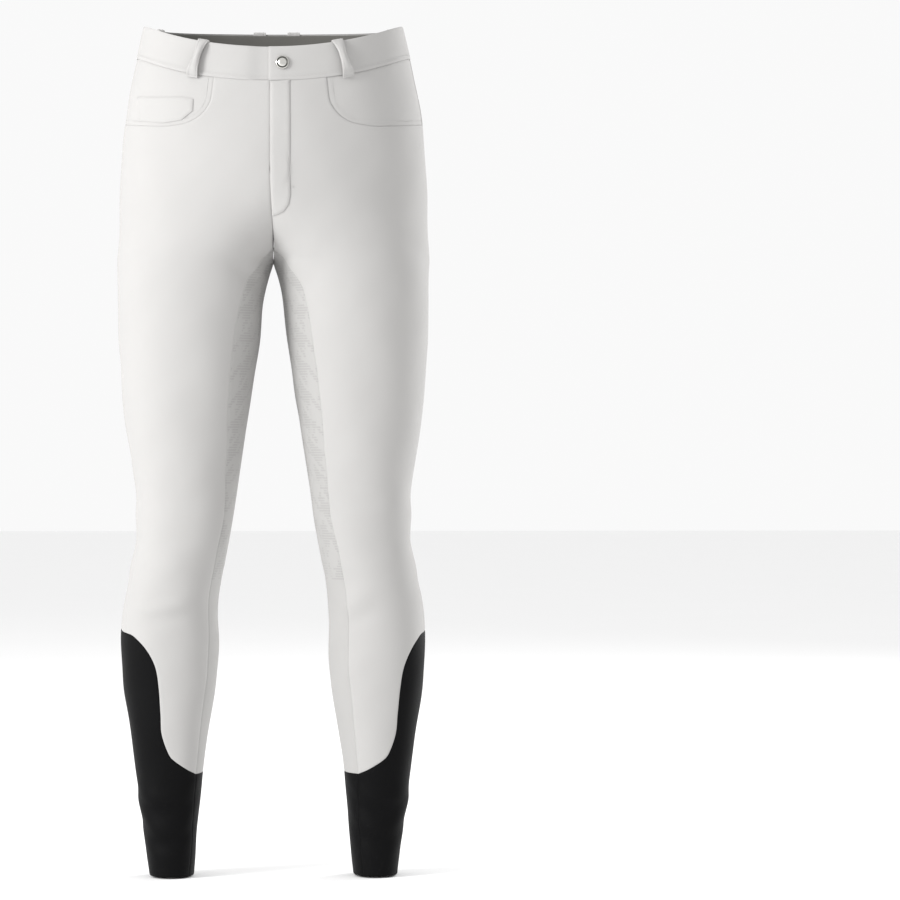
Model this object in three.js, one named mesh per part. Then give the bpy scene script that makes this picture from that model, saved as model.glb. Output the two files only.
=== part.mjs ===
import * as THREE from 'three';

// Riding breeches, filled out as if worn, with nobody in them. Millimetres, +Z up.
// The origin is the middle of the waist opening. The wearer faces -Y and the wearer's left is +X.
// A turn is an angle round one leg in degrees: 0 inside, 90 front, 180 outside, 270 back, 360 inside again.
// Cloth is cut as flat pieces in turn and height, and each piece is then wrapped round the body form.

// Walls and gaps
const CLOTH_WALL = 1.4;
const BAND_WALL = 2;
const LINING_WALL = 0.9;
const POCKET_WALL = 1.1;
const FLAP_WALL = 1.3;
const LOOP_WALL = 1.4;
const SEAM_GAP = 0.36;
const LAYER_GAP = 0.32;
const TRIM_GAP = 0.6;

// Waist, hem and fork
const SIDE_TOP_Z = 24.5;
const FRONT_DIP = 33.5;
const BACK_RISE = 2.5;
const SIDE_SEAM_Z = -14;
const FRONT_SEAM_DIP = 35;
const BACK_SEAM_RISE = 7;
const FORK_Z = -257;
const INSEAM_TOP_Z = -245;
const HEM_Z = -991;

// Corner heights of the pattern
const YOKE_SIDE_Z = -60;
const YOKE_CENTRE_Z = -66;
const POCKET_SIDE_Z = -92;
const ARCH_CENTRE_Z = -109;
const POCKET_MOUTH_X = 66;

// The body form
const SQUARENESS = 0.08;
const TORSO_TURN = -2.2;
const TORSO_TURN_TOP_Z = -150;
const LEG_TWIST = 8;
const LEG_TWIST_TOP_Z = -350;
const LEG_TWIST_LOW_Z = -650;

// Sizes of the mesh that the cloth is cut into
const ACROSS_STEP = 20;
const DOWN_STEP = 30;
const SEAM_STEP = 18;
const TRIM_STEP = 10;
const TRIM_ACROSS_STEP = 10;
const TRIM_DOWN_STEP = 15;
const ANKLE_ACROSS_STEP = 15;
const ANKLE_DOWN_STEP = 15;
const WAIST_POINTS = 8;
const MIDDLE_POINTS = 24;
const LATTICE_SHIFT = 0.03;
const LATTICE_CLEARANCE = 0.5;
const SHORTEST_EDGE = 0.5;
const SHARPEST_CORNER = 0.45;
const MOST_SWAP_PASSES = 80;
const SEARCH_STEPS = 40;
const TURN_NUDGE = 0.25;
const HEIGHT_NUDGE = 0.5;
const NEARLY_NOTHING = 1e-6;

const WEARER_LEFT = 1;
const WEARER_RIGHT = -1;
const DEGREE = Math.PI / 180;
const FULL_TURN = 360;
const FRONT = 90;
const OUTSIDE = 180;
const BACK = 270;

// A table that is read smoothly between its rows, without overshoot, by its first column.
class Table {
  constructor(columns, rows) {
    this.columns = columns;
    this.rows = rows;
  }

  secant(row, column) {
    const [from, to] = [this.rows[row], this.rows[row + 1]];
    return (to[column] - from[column]) / (to[0] - from[0]);
  }

  slope(row, column) {
    if (row === 0) return this.secant(0, column);
    if (row === this.rows.length - 1) return this.secant(row - 1, column);
    const [before, after] = [this.secant(row - 1, column), this.secant(row, column)];
    return before * after <= 0 ? 0 : (2 * before * after) / (before + after);
  }

  read(name, at) {
    const column = this.columns.indexOf(name);
    const direction = Math.sign(this.rows[1][0] - this.rows[0][0]);
    let row = 0;
    while (row < this.rows.length - 2 && (at - this.rows[row + 1][0]) * direction > 0) row += 1;
    const [from, to] = [this.rows[row], this.rows[row + 1]];
    const span = to[0] - from[0];
    const t = THREE.MathUtils.clamp((at - from[0]) / span, 0, 1);
    const [start, end] = [this.slope(row, column) * span, this.slope(row + 1, column) * span];
    const rest = 1 - t;
    return from[column] * (1 + 2 * t) * rest * rest + to[column] * t * t * (3 - 2 * t)
      + start * t * rest * rest - end * t * t * rest;
  }

  points() {
    return this.rows.map((row) => Object.fromEntries(this.columns.map((name, k) => [name, row[k]])));
  }
}

// Level sections of one side: the outer and inner edge and the leg's axis across from the middle of the
// body, and the reach to the front and back. Above the fork the inner edge lies past the middle, where the
// two sides cut each other off.
const SECTIONS = new Table(['z', 'outer', 'inner', 'axis', 'front', 'back'], [
  [30, 154, -154, 0, 103, 104],
  [-15, 163.7, -163.7, 0, 107, 110],
  [-60, 173.8, -173.8, 0, 110, 119],
  [-110, 180.7, -180.7, 0, 111, 128],
  [-150, 183.2, -165, 12, 110, 132],
  [-180, 184.2, -110, 30, 109, 132],
  [-205, 184.8, -65, 52, 107, 129],
  [-230, 185.4, -32, 73, 104, 122],
  [-245, 185.9, -13, 83, 102, 116],
  [-257, 186.2, 0, 90, 101, 111],
  [-302, 186.2, 10.9, 98.5, 98, 100],
  [-350, 184.8, 16.2, 100.5, 94, 94],
  [-398, 182, 23.4, 102.7, 90, 89],
  [-446, 177.8, 30.8, 104.3, 86, 81],
  [-494, 169.8, 38, 103.9, 80, 70],
  [-542, 164.2, 45, 104.6, 73, 60],
  [-566, 163.4, 48.6, 106, 70, 57],
  [-590, 165.2, 52.9, 109, 68, 60],
  [-614, 168.2, 57.8, 113, 65, 67],
  [-638, 173.3, 62.9, 118, 62, 74],
  [-662, 178.8, 65.6, 122.2, 58, 80],
  [-686, 182, 66.2, 124.1, 54, 84],
  [-710, 183.1, 65.6, 124.4, 50, 86],
  [-758, 180, 68.4, 124.2, 43, 82],
  [-830, 170.2, 79.9, 125, 35, 67],
  [-878, 163.6, 85.6, 124.6, 31, 57],
  [-926, 157.7, 90, 123.9, 29, 50],
  [-992, 148.8, 95.8, 122.3, 28, 46],
]);

// The outseam, from the end of the pocket mouth down to the dark lower leg.
const OUTSEAM = new Table(['turn', 'z'], [
  [180, POCKET_SIDE_Z], [180, -220], [180, -350], [180, -480], [179, -530], [174.5, -570], [164, -614],
  [160, -655], [158, -700],
]);

// The seam down the front of the inner leg, from the fork to the dark lower leg.
const INNER_SEAM = new Table(['turn', 'z'], [
  [44, -283], [50, -325], [52, -375], [52, -410], [49, -470], [47, -520], [47, -590], [46, -650], [47, -722],
  [48, -800], [48, -868.5],
]);

// The arch over the seat, across from the middle of the back.
const ARCH = new Table(['x', 'z'], [
  [0, ARCH_CENTRE_Z], [35, -111], [67, -115.3], [88, -127], [103, -141.4], [115, -160], [124, -186.6],
]);

// The seat's seam below the arch, down the back of the leg.
const SEAT_SEAM = new Table(['turn', 'z'], [
  [239, -218], [244, -258], [249, -300], [253, -345], [256.7, -392], [261, -440], [266.6, -540], [274.6, -635],
  [276, -706], [280, -790], [280, -865],
]);

// The top edge of the dark lower leg, round from the inner seam: shin, lobe up the calf, and notch behind.
const SHIN_EDGE = new Table(['turn', 'z'], [
  [48, -868.5], [67, -862.8], [89, -852], [98, -843], [107, -820], [108, -795.6], [109.5, -765.6],
  [113.5, -738], [124.7, -717], [142, -703.5], [158, -700],
]);
const LOBE_TOP_EDGE = new Table(['turn', 'z'], [[158, -700], [172, -698.4], [188, -695]]);
const CALF_EDGE = new Table(['turn', 'z'], [
  [188, -695], [192, -714], [204.7, -735], [211, -767], [212.8, -799], [216.5, -818.4], [227, -835],
  [240, -848.4], [248, -856.8],
]);
const NOTCH_EDGE = new Table(['turn', 'z'], [[248, -856.8], [262, -863.5], [280, -865]]);
const ANKLE_EDGE = new Table(['turn', 'z'], [[280, -865], [320, -866.4], [360, -867.5], [408, -868.5]]);

// The yoke's lower edge, across from the middle of the back.
const YOKE_EDGE = new Table(['x', 'z'], [
  [0, YOKE_CENTRE_Z], [25, -63], [50, -59.5], [75, -56], [105, -53], [132, -54], [155, -56.5],
]);

// The scooped mouth of the front pocket, across from the middle of the front.
const SCOOP = new Table(['x', 'z'], [
  [68, -61], [71, -75], [81.4, -88.8], [96.4, -97.2], [118, -100.7], [139, -100],
]);

// Trims that lie on a panel, across from the middle.
const FLAP = [
  [49, -60.4], [72, -57.2], [90, -55], [105, -53.9], [132, -55], [150, -56.8], [164, -60], [167.5, -79.4],
  [150, -84.6], [135, -89.1], [120, -85.9], [101, -81.8], [79, -79.9], [61, -80.5],
];
const BACK_POCKET = [
  [53, -66.5], [75, -61.5], [105, -58.6], [132, -59.8], [150, -62], [168.5, -65.5], [171, -94], [170.5, -135],
  [166, -169.6], [131.5, -192.5], [126.6, -186], [117.5, -158.6], [105, -139], [90, -125.5], [70.3, -114],
  [61, -81],
];
const COIN_POCKET = [
  [160, -63.5], [134, -66], [101, -67.5], [90.5, -70], [91, -84], [105, -94.5], [128, -97], [158, -92],
];
const PLACKET = [
  [0.4, -50.2], [23, -48.4], [23.4, -120], [23, -182], [20.5, -194], [14, -202], [5, -206], [0.4, -207],
];

// Soft folds in the cloth that show from a step away: where, how long and wide, how they lean in degrees,
// how far their ends rise, and how proud they stand, or how deep with a minus. Side 0 is both legs.
const FOLDS = new Table(['side', 'turn', 'z', 'length', 'width', 'lean', 'lift', 'height'], [
  [-1, 95, -668, 30, 9, -6, 2, 2.4],
  [-1, 100, -684, 26, 9, -4, 2, -1.6],
  [1, 62, -662, 22, 12, 28, 0, 2.2],
  [1, 70, -682, 22, 10, 20, 0, -1.4],
  [0, 100, -898, 34, 9, 0, 10, 1.8],
  [0, 96, -914, 34, 8, 0, 12, -1.6],
  [0, 98, -934, 32, 9, 2, 12, 1.9],
  [0, 94, -951, 30, 8, -4, 10, -1.5],
  [0, 98, -966, 26, 8, -2, 8, 1.3],
  [-1, 282, -318, 52, 11, 66, 0, 2.4],
  [-1, 296, -332, 46, 10, 70, 0, -1.8],
  [1, 290, -312, 44, 12, 74, 0, 1.8],
  [0, 275, -545, 26, 9, 6, -2, -2.2],
  [0, 268, -568, 30, 9, -8, 2, 2],
  [0, 280, -590, 28, 9, 5, 0, -1.8],
]);

// Belt loops: where the middle of each lies at its top and bottom edge, and how far it runs under the band.
const LOOP_WIDTH = 12.6;
const BELT_LOOPS = [
  { name: 'front', topX: 76, lowX: 88, behind: false, tail: 6 },
  { name: 'side', topX: 139, lowX: 147, behind: true, tail: 16.5 },
  { name: 'back', topX: 21, lowX: 21, behind: true, tail: 10 },
];

// A loop's middle line: how far out it stands, and how far below the band's top edge, from its tucked end.
// The rows at the lower end count down from the loop's own end.
const LOOP_TOP_PATH = new Table(['stand', 'drop'], [
  [-2.6, 3.6], [-2.6, 0.2], [-1.9, -1.4], [-0.4, -1.9], [1.2, -1.6], [3.2, 0.2], [5.6, 3.4], [8.5, 8.6],
  [9.3, 13.5],
]);
const LOOP_LOW_PATH = new Table(['stand', 'left'], [[9.3, 15], [8.5, 9.4], [5.4, 4.2], [2.3, 1.4], [1.9, 0]]);
const LOOP_STATIONS = 20;

// Metal fastenings, as profiles of radius and height.
const BUTTON_AT = { x: 14.4, z: -28.1 };
const BUTTON_PROFILE = [
  [0, 0], [6.6, 0], [7.6, 0.5], [8, 1.3], [7.7, 2.3], [6.8, 2.9], [5.9, 2.7], [5.5, 2.2], [4.6, 2.7],
  [2.6, 3.5], [0, 3.8],
];
const SNAP_AT = { x: 134, z: -72.1 };
const SNAP_PROFILE = [[0, 0], [5.2, 0], [5.8, 0.6], [5.7, 1.4], [4.9, 1.9], [4, 1.5], [2.6, 1.6], [0, 1.9]];
const ROUND_SIDES = 18;

// The band's strip round the waist, as angles from the middle of the front towards the wearer's left.
const BAND_UNDER_END = 10;
const BAND_UNDER_FROM = -3;
const BAND_LEVEL_FROM = -9;
const BAND_OVER_END = -0.5;
const BAND_OUT = 0.6;
const LINING_START = 11.5;
const LINING_END = -12;
const LINING_TOP_DROP = 5;
const LINING_LOW_RISE = 1.5;
const BAND_STATIONS = 64;
const BAND_ROWS = 2;
const FACING_IN = 0.9;

const cloth = (name, color, roughness) => (
  new THREE.MeshStandardMaterial({ name, color, roughness, metalness: 0 }));
const pale = cloth('pale_cloth', 0xd2cfcb, 0.85);
const check = cloth('check_cloth', 0xbdb9b5, 0.9);
const dark = cloth('dark_cloth', 0x17171a, 0.8);
const lining = cloth('lining_cloth', 0x69685f, 0.9);
const metal = new THREE.MeshStandardMaterial({ name: 'metal', color: 0x8d8d90, roughness: 0.3, metalness: 1 });

// The body form

function section(z) {
  const row = {};
  for (const name of SECTIONS.columns.slice(1)) row[name] = SECTIONS.read(name, z);
  return row;
}

// About how long the cloth is all round one leg, or all round the body above the fork.
function girthAt(z) {
  const { outer, inner, front, back } = section(z);
  return 2 * Math.PI * Math.hypot((outer - inner) / 2, (front + back) / 2) / Math.SQRT2;
}

// How far across from the middle of the body a turn lies, before the body's own turn.
function acrossAt(turn, z) {
  const { outer, inner, axis } = section(z);
  const [cosine, sine] = [Math.cos(turn * DEGREE), Math.sin(turn * DEGREE)];
  const half = cosine > 0 ? axis - inner : outer - axis;
  return axis - half * cosine * (1 + SQUARENESS * sine * sine);
}

function formPoint(side, turn, z) {
  const { front, back } = section(z);
  const [cosine, sine] = [Math.cos(turn * DEGREE), Math.sin(turn * DEGREE)];
  const x = side * acrossAt(turn, z);
  const y = (back - front) / 2 - ((front + back) / 2) * sine * (1 + SQUARENESS * cosine * cosine);
  const ease = THREE.MathUtils.smoothstep(z, FORK_Z, TORSO_TURN_TOP_Z);
  return new THREE.Vector3(x, y, z).applyAxisAngle(new THREE.Vector3(0, 0, 1), TORSO_TURN * DEGREE * ease);
}

function outwards(pointAt, side, turn, z) {
  const round = pointAt(side, turn + TURN_NUDGE, z).sub(pointAt(side, turn - TURN_NUDGE, z));
  const down = pointAt(side, turn, z - HEIGHT_NUDGE).sub(pointAt(side, turn, z + HEIGHT_NUDGE));
  return round.cross(down).normalize().multiplyScalar(-side);
}

function foldHeight(side, turn, z) {
  let height = 0;
  for (const fold of FOLDS.points()) {
    if (fold.side !== 0 && fold.side !== side) continue;
    const away = THREE.MathUtils.euclideanModulo(turn - fold.turn + OUTSIDE, FULL_TURN) - OUTSIDE;
    const round = (away * girthAt(z)) / FULL_TURN;
    const [cosine, sine] = [Math.cos(fold.lean * DEGREE), Math.sin(fold.lean * DEGREE)];
    const along = (round * cosine + (z - fold.z) * sine) / fold.length;
    const off = ((z - fold.z) * cosine - round * sine - fold.lift * along * along) / fold.width;
    height += fold.height * Math.exp(-along * along - off * off);
  }
  return height;
}

function foldedPoint(side, turn, z) {
  const point = formPoint(side, turn, z);
  return point.addScaledVector(outwards(formPoint, side, turn, z), foldHeight(side, turn, z));
}

// A point on the cloth's outer face, or out from it.
function clothPoint(side, turn, z, out) {
  const point = foldedPoint(side, turn, z);
  return point.addScaledVector(outwards(foldedPoint, side, turn, z), out);
}

// The turn of the front where one side is cut off by the middle of the body: 90 above, 0 at the fork.
function cutTurn(z) {
  if (section(z).axis <= 0) return FRONT;
  let [low, high] = [0, FRONT];
  for (let step = 0; step < SEARCH_STEPS; step += 1) {
    const middle = (low + high) / 2;
    if (acrossAt(middle, z) < 0) low = middle;
    else high = middle;
  }
  return z <= FORK_Z ? 0 : high;
}

// The turn of a place measured across from the middle, on the front or behind.
function turnAt(x, z, behind) {
  let [low, high] = [cutTurn(z), OUTSIDE];
  for (let step = 0; step < SEARCH_STEPS; step += 1) {
    const middle = (low + high) / 2;
    if (acrossAt(middle, z) < x) low = middle;
    else high = middle;
  }
  return behind ? FULL_TURN - low : low;
}

const placeOn = (behind) => ({ x, z }) => ({ turn: turnAt(x, z, behind), z });

function waistTopZ(turn) {
  const square = Math.sin(turn * DEGREE) ** 2;
  return SIDE_TOP_Z + (turn < OUTSIDE ? -FRONT_DIP : BACK_RISE) * square;
}

function waistSeamZ(turn) {
  const square = Math.sin(turn * DEGREE) ** 2;
  return SIDE_SEAM_Z + (turn < OUTSIDE ? -FRONT_SEAM_DIP : BACK_SEAM_RISE) * square;
}

// Seam lines

const flat = ({ turn, z }) => new THREE.Vector2(((turn - OUTSIDE) * girthAt(z)) / FULL_TURN, z);
const unflat = ({ x, y }) => ({ turn: OUTSIDE + (x * FULL_TURN) / girthAt(y), z: y });

// Evenly spaced points on a smooth line through the points given.
function seamLine(points, step = SEAM_STEP) {
  const curve = new THREE.SplineCurve(points.map(flat));
  const count = Math.max(1, Math.round(curve.getLength() / step));
  const line = curve.getSpacedPoints(count).map(unflat);
  [line[0], line[count]] = [points[0], points[points.length - 1]];
  return line;
}

const reversed = (line) => [...line].reverse();
const turnedOn = (line) => line.map(({ turn, z }) => ({ turn: turn + FULL_TURN, z }));

// How far the seams of one leg are turned round it: both legs the same way, as seen from above.
function twisted(side, points) {
  return points.map(({ turn, z }) => {
    const ease = 1 - THREE.MathUtils.smoothstep(z, LEG_TWIST_LOW_Z, LEG_TWIST_TOP_Z);
    return { turn: turn + side * LEG_TWIST * ease, z };
  });
}

function waistLine(fromTurn, toTurn) {
  const points = [];
  for (let k = 0; k <= WAIST_POINTS; k += 1) {
    const turn = THREE.MathUtils.lerp(fromTurn, toTurn, k / WAIST_POINTS);
    points.push({ turn, z: waistSeamZ(turn) });
  }
  return seamLine(points);
}

// The middle seam where the two sides meet, on the front or behind.
function middleLine(fromZ, toZ, behind) {
  const points = [];
  for (let k = 0; k <= MIDDLE_POINTS; k += 1) {
    const share = Math.sin((k / MIDDLE_POINTS) * FRONT * DEGREE);
    const z = THREE.MathUtils.lerp(fromZ, toZ, share);
    points.push({ turn: behind ? FULL_TURN - cutTurn(z) : cutTurn(z), z });
  }
  return seamLine(points);
}

function seamLines(side) {
  const leg = (table) => twisted(side, table.points());
  const behind = (table) => table.points().map(placeOn(true));
  const mouthTurn = turnAt(POCKET_MOUTH_X, waistSeamZ(turnAt(POCKET_MOUTH_X, SIDE_SEAM_Z, false)), false);
  const mouth = { turn: mouthTurn, z: waistSeamZ(mouthTurn) };
  const yokeSide = { turn: OUTSIDE, z: YOKE_SIDE_Z };
  const pocketSide = { turn: OUTSIDE, z: POCKET_SIDE_Z };
  const outseamTop = { turn: OUTSIDE, z: waistSeamZ(OUTSIDE) };
  const innerTop = { turn: cutTurn(INSEAM_TOP_Z), z: INSEAM_TOP_Z };
  const inner = leg(INNER_SEAM);
  const ankle = { turn: inner[inner.length - 1].turn, z: HEM_Z };
  const notch = leg(NOTCH_EDGE)[0];
  const heel = { turn: notch.turn, z: HEM_Z };
  return {
    waistFront: waistLine(FRONT, mouthTurn),
    waistFacing: waistLine(mouthTurn, OUTSIDE),
    waistYoke: waistLine(OUTSIDE, BACK),
    scoop: seamLine([mouth, ...SCOOP.points().map(placeOn(false)), pocketSide], TRIM_STEP),
    fly: middleLine(waistSeamZ(FRONT), INSEAM_TOP_Z, false),
    underFork: reversed(middleLine(FORK_Z, INSEAM_TOP_Z, false)),
    yokeSideUp: seamLine([outseamTop, yokeSide]),
    yokeSideLow: seamLine([yokeSide, pocketSide]),
    outseam: seamLine(leg(OUTSEAM)),
    innerSeam: seamLine([innerTop, ...inner]),
    yokeEdge: seamLine([...behind(YOKE_EDGE), yokeSide]),
    yokeMiddle: middleLine(waistSeamZ(BACK), YOKE_CENTRE_Z, true),
    sideMiddle: middleLine(YOKE_CENTRE_Z, ARCH_CENTRE_Z, true),
    seatMiddle: middleLine(ARCH_CENTRE_Z, FORK_Z, true),
    seatSeam: seamLine([...behind(ARCH), ...leg(SEAT_SEAM)]),
    shinEdge: seamLine(leg(SHIN_EDGE), TRIM_STEP),
    lobeTop: seamLine(leg(LOBE_TOP_EDGE), TRIM_STEP),
    calfEdge: seamLine(leg(CALF_EDGE), TRIM_STEP),
    notchEdge: seamLine(leg(NOTCH_EDGE), TRIM_STEP),
    ankleEdge: seamLine(leg(ANKLE_EDGE), TRIM_STEP),
    heelSeam: seamLine([notch, heel]),
    ankleSeam: seamLine([inner[inner.length - 1], ankle]),
    hemFront: seamLine([ankle, { turn: OUTSIDE, z: HEM_Z }, heel], TRIM_STEP),
    hemBack: seamLine([heel, { turn: ankle.turn + FULL_TURN, z: HEM_Z }], TRIM_STEP),
  };
}

// Cutting a flat piece into triangles

const areaOf = (a, b, c) => (b.x - a.x) * (c.y - a.y) - (b.y - a.y) * (c.x - a.x);

function distanceToEdge(point, loop) {
  let nearest = Infinity;
  const closest = new THREE.Vector2();
  for (let k = 0; k < loop.length; k += 1) {
    const from = loop[k];
    const along = loop[(k + 1) % loop.length].clone().sub(from);
    const t = THREE.MathUtils.clamp(point.clone().sub(from).dot(along) / along.lengthSq(), 0, 1);
    nearest = Math.min(nearest, closest.copy(from).addScaledVector(along, t).distanceTo(point));
  }
  return nearest;
}

function isInside(point, loop) {
  let inside = false;
  for (let k = 0; k < loop.length; k += 1) {
    const [a, b] = [loop[k], loop[(k + 1) % loop.length]];
    const crosses = a.y > point.y !== b.y > point.y;
    if (crosses && point.x < a.x + ((point.y - a.y) / (b.y - a.y)) * (b.x - a.x)) inside = !inside;
  }
  return inside;
}

// Each corner is moved in by the margin, square to the edges that meet there.
function movedIn(loop, margin) {
  return loop.map((point, k) => {
    const before = point.clone().sub(loop.at(k - 1)).normalize();
    const after = loop[(k + 1) % loop.length].clone().sub(point).normalize();
    const inward = new THREE.Vector2(-before.y - after.y, before.x + after.x).normalize();
    const spread = Math.max(SHARPEST_CORNER, inward.dot(new THREE.Vector2(-after.y, after.x)));
    return point.clone().addScaledVector(inward, margin / spread);
  });
}

// Points inside the piece, on one lattice that all pieces share.
function latticeInside(loop, across, down) {
  const ys = loop.map((point) => point.y);
  const xs = loop.map((point) => point.x);
  const inside = [];
  const clearance = LATTICE_CLEARANCE * Math.min(across, down);
  const firstColumn = Math.ceil(Math.min(...xs) / across) - 1;
  for (let row = Math.ceil(Math.min(...ys) / down); row * down < Math.max(...ys); row += 1) {
    const shift = (row & 1 ? 0.5 : 0) + LATTICE_SHIFT;
    for (let column = firstColumn; column * across < Math.max(...xs); column += 1) {
      const point = new THREE.Vector2((column + shift) * across, row * down);
      if (isInside(point, loop) && distanceToEdge(point, loop) > clearance) inside.push(point);
    }
  }
  return inside;
}

function insertPoint(points, faces, index) {
  const point = points[index];
  const hit = faces.findIndex(([a, b, c]) => areaOf(points[a], points[b], point) > 0
    && areaOf(points[b], points[c], point) > 0 && areaOf(points[c], points[a], point) > 0);
  if (hit < 0) throw new Error('a lattice point lies on no triangle');
  const [a, b, c] = faces[hit];
  faces[hit] = [a, b, index];
  faces.push([b, c, index], [c, a, index]);
}

// Whether d lies inside the circle through a, b and c, which run anticlockwise.
function inCircle(a, b, c, d) {
  const rows = [a, b, c].map((p) => [p.x - d.x, p.y - d.y, (p.x - d.x) ** 2 + (p.y - d.y) ** 2]);
  const [[ax, ay, as], [bx, by, bs], [cx, cy, cs]] = rows;
  return ax * (by * cs - bs * cy) - ay * (bx * cs - bs * cx) + as * (bx * cy - by * cx) > NEARLY_NOTHING;
}

// Edges between two triangles are swapped until no triangle's circle holds a neighbour's corner.
function swapEdges(points, faces) {
  let swapped = true;
  for (let pass = 0; swapped && pass < MOST_SWAP_PASSES; pass += 1) {
    swapped = false;
    const edges = new Map();
    faces.forEach((face, k) => face.forEach((a, j) => edges.set(`${a},${face[(j + 1) % 3]}`, k)));
    const touched = new Set();
    faces.forEach((face, k) => {
      for (let j = 0; j < 3 && !touched.has(k); j += 1) {
        const [a, b, c] = [face[j], face[(j + 1) % 3], face[(j + 2) % 3]];
        const other = edges.get(`${b},${a}`);
        if (other === undefined || touched.has(other)) continue;
        const d = faces[other].find((corner) => corner !== a && corner !== b);
        const [pa, pb, pc, pd] = [a, b, c, d].map((corner) => points[corner]);
        const bulges = areaOf(pa, pd, pc) > NEARLY_NOTHING && areaOf(pd, pb, pc) > NEARLY_NOTHING;
        if (!bulges || !inCircle(pa, pb, pc, pd)) continue;
        faces[k] = [a, d, c];
        faces[other] = [d, b, c];
        touched.add(k).add(other);
        swapped = true;
      }
    });
  }
}

function triangulate(loop, inside) {
  const points = [...loop, ...inside];
  const faces = THREE.ShapeUtils.triangulateShape(loop, []).map(([a, b, c]) => (
    areaOf(loop[a], loop[b], loop[c]) > 0 ? [a, b, c] : [a, c, b]));
  inside.forEach((_, k) => insertPoint(points, faces, loop.length + k));
  swapEdges(points, faces);
  return { points, faces };
}

// Solids

function signedVolume(positions, faces) {
  let volume = 0;
  for (const [a, b, c] of faces) {
    volume += positions[a].dot(new THREE.Vector3().crossVectors(positions[b], positions[c]));
  }
  return volume / 6;
}

function solidMesh(name, positions, faces, material) {
  const turned = signedVolume(positions, faces) < 0 ? faces.map(([a, b, c]) => [a, c, b]) : faces;
  const geometry = new THREE.BufferGeometry().setFromPoints(positions);
  geometry.setIndex(turned.flat());
  geometry.computeVertexNormals();
  const mesh = new THREE.Mesh(geometry, material);
  mesh.name = name;
  return mesh;
}

// A wall of cloth cut to the loop's outline, with its outer face out from the form.
function clothPiece(name, side, loop, material, options = {}) {
  const { out = 0, wall = CLOTH_WALL, margin = SEAM_GAP / 2 } = options;
  const { across = ACROSS_STEP, down = DOWN_STEP } = options;
  const corners = loop.map(flat);
  let outline = corners.filter((point, k) => point.distanceTo(corners.at(k - 1)) > SHORTEST_EDGE);
  if (THREE.ShapeUtils.area(outline) < 0) outline.reverse();
  outline = movedIn(outline, margin);
  const { points, faces } = triangulate(outline, latticeInside(outline, across, down));
  const places = points.map(unflat);
  const positions = [
    ...places.map(({ turn, z }) => clothPoint(side, turn, z, out)),
    ...places.map(({ turn, z }) => clothPoint(side, turn, z, out - wall)),
  ];
  const count = points.length;
  const walls = [...faces, ...faces.map(([a, b, c]) => [a + count, c + count, b + count])];
  outline.forEach((_, k) => {
    const next = (k + 1) % outline.length;
    walls.push([k, k + count, next], [next, k + count, next + count]);
  });
  return solidMesh(name, positions, walls, material);
}

// A straight-sided outline given across from the middle, cut into short steps.
function trimOutline(corners, behind) {
  const outline = [];
  corners.forEach(([x, z], k) => {
    const [nextX, nextZ] = corners[(k + 1) % corners.length];
    const count = Math.max(1, Math.round(Math.hypot(nextX - x, nextZ - z) / TRIM_STEP));
    for (let step = 0; step < count; step += 1) {
      const share = step / count;
      const place = { x: THREE.MathUtils.lerp(x, nextX, share), z: THREE.MathUtils.lerp(z, nextZ, share) };
      outline.push(placeOn(behind)(place));
    }
  });
  return outline;
}

function trimPiece(name, side, corners, behind, options) {
  const fine = { margin: 0, across: TRIM_ACROSS_STEP, down: TRIM_DOWN_STEP };
  return clothPiece(name, side, trimOutline(corners, behind), pale, { ...fine, ...options });
}

// A strip of a few rows by many stations, closed all round. placeOf gives a point of its outer or inner face.
function stripSolid(name, stations, rows, placeOf, material) {
  const positions = [];
  for (const layer of [0, 1]) {
    for (let station = 0; station <= stations; station += 1) {
      for (let row = 0; row <= rows; row += 1) positions.push(placeOf(station / stations, row / rows, layer));
    }
  }
  const layerSize = (stations + 1) * (rows + 1);
  const at = (station, row, layer) => layer * layerSize + station * (rows + 1) + row;
  const faces = [];
  const quad = (a, b, c, d) => faces.push([a, b, c], [a, c, d]);
  for (let station = 0; station < stations; station += 1) {
    for (let row = 0; row < rows; row += 1) {
      const next = station + 1;
      quad(at(station, row, 0), at(next, row, 0), at(next, row + 1, 0), at(station, row + 1, 0));
      quad(at(station, row, 1), at(station, row + 1, 1), at(next, row + 1, 1), at(next, row, 1));
    }
    quad(at(station, 0, 0), at(station, 0, 1), at(station + 1, 0, 1), at(station + 1, 0, 0));
    quad(at(station, rows, 0), at(station + 1, rows, 0), at(station + 1, rows, 1), at(station, rows, 1));
  }
  for (let row = 0; row < rows; row += 1) {
    quad(at(0, row, 0), at(0, row + 1, 0), at(0, row + 1, 1), at(0, row, 1));
    quad(at(stations, row, 0), at(stations, row, 1), at(stations, row + 1, 1), at(stations, row + 1, 0));
  }
  return solidMesh(name, positions, faces, material);
}

// Pieces

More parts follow.
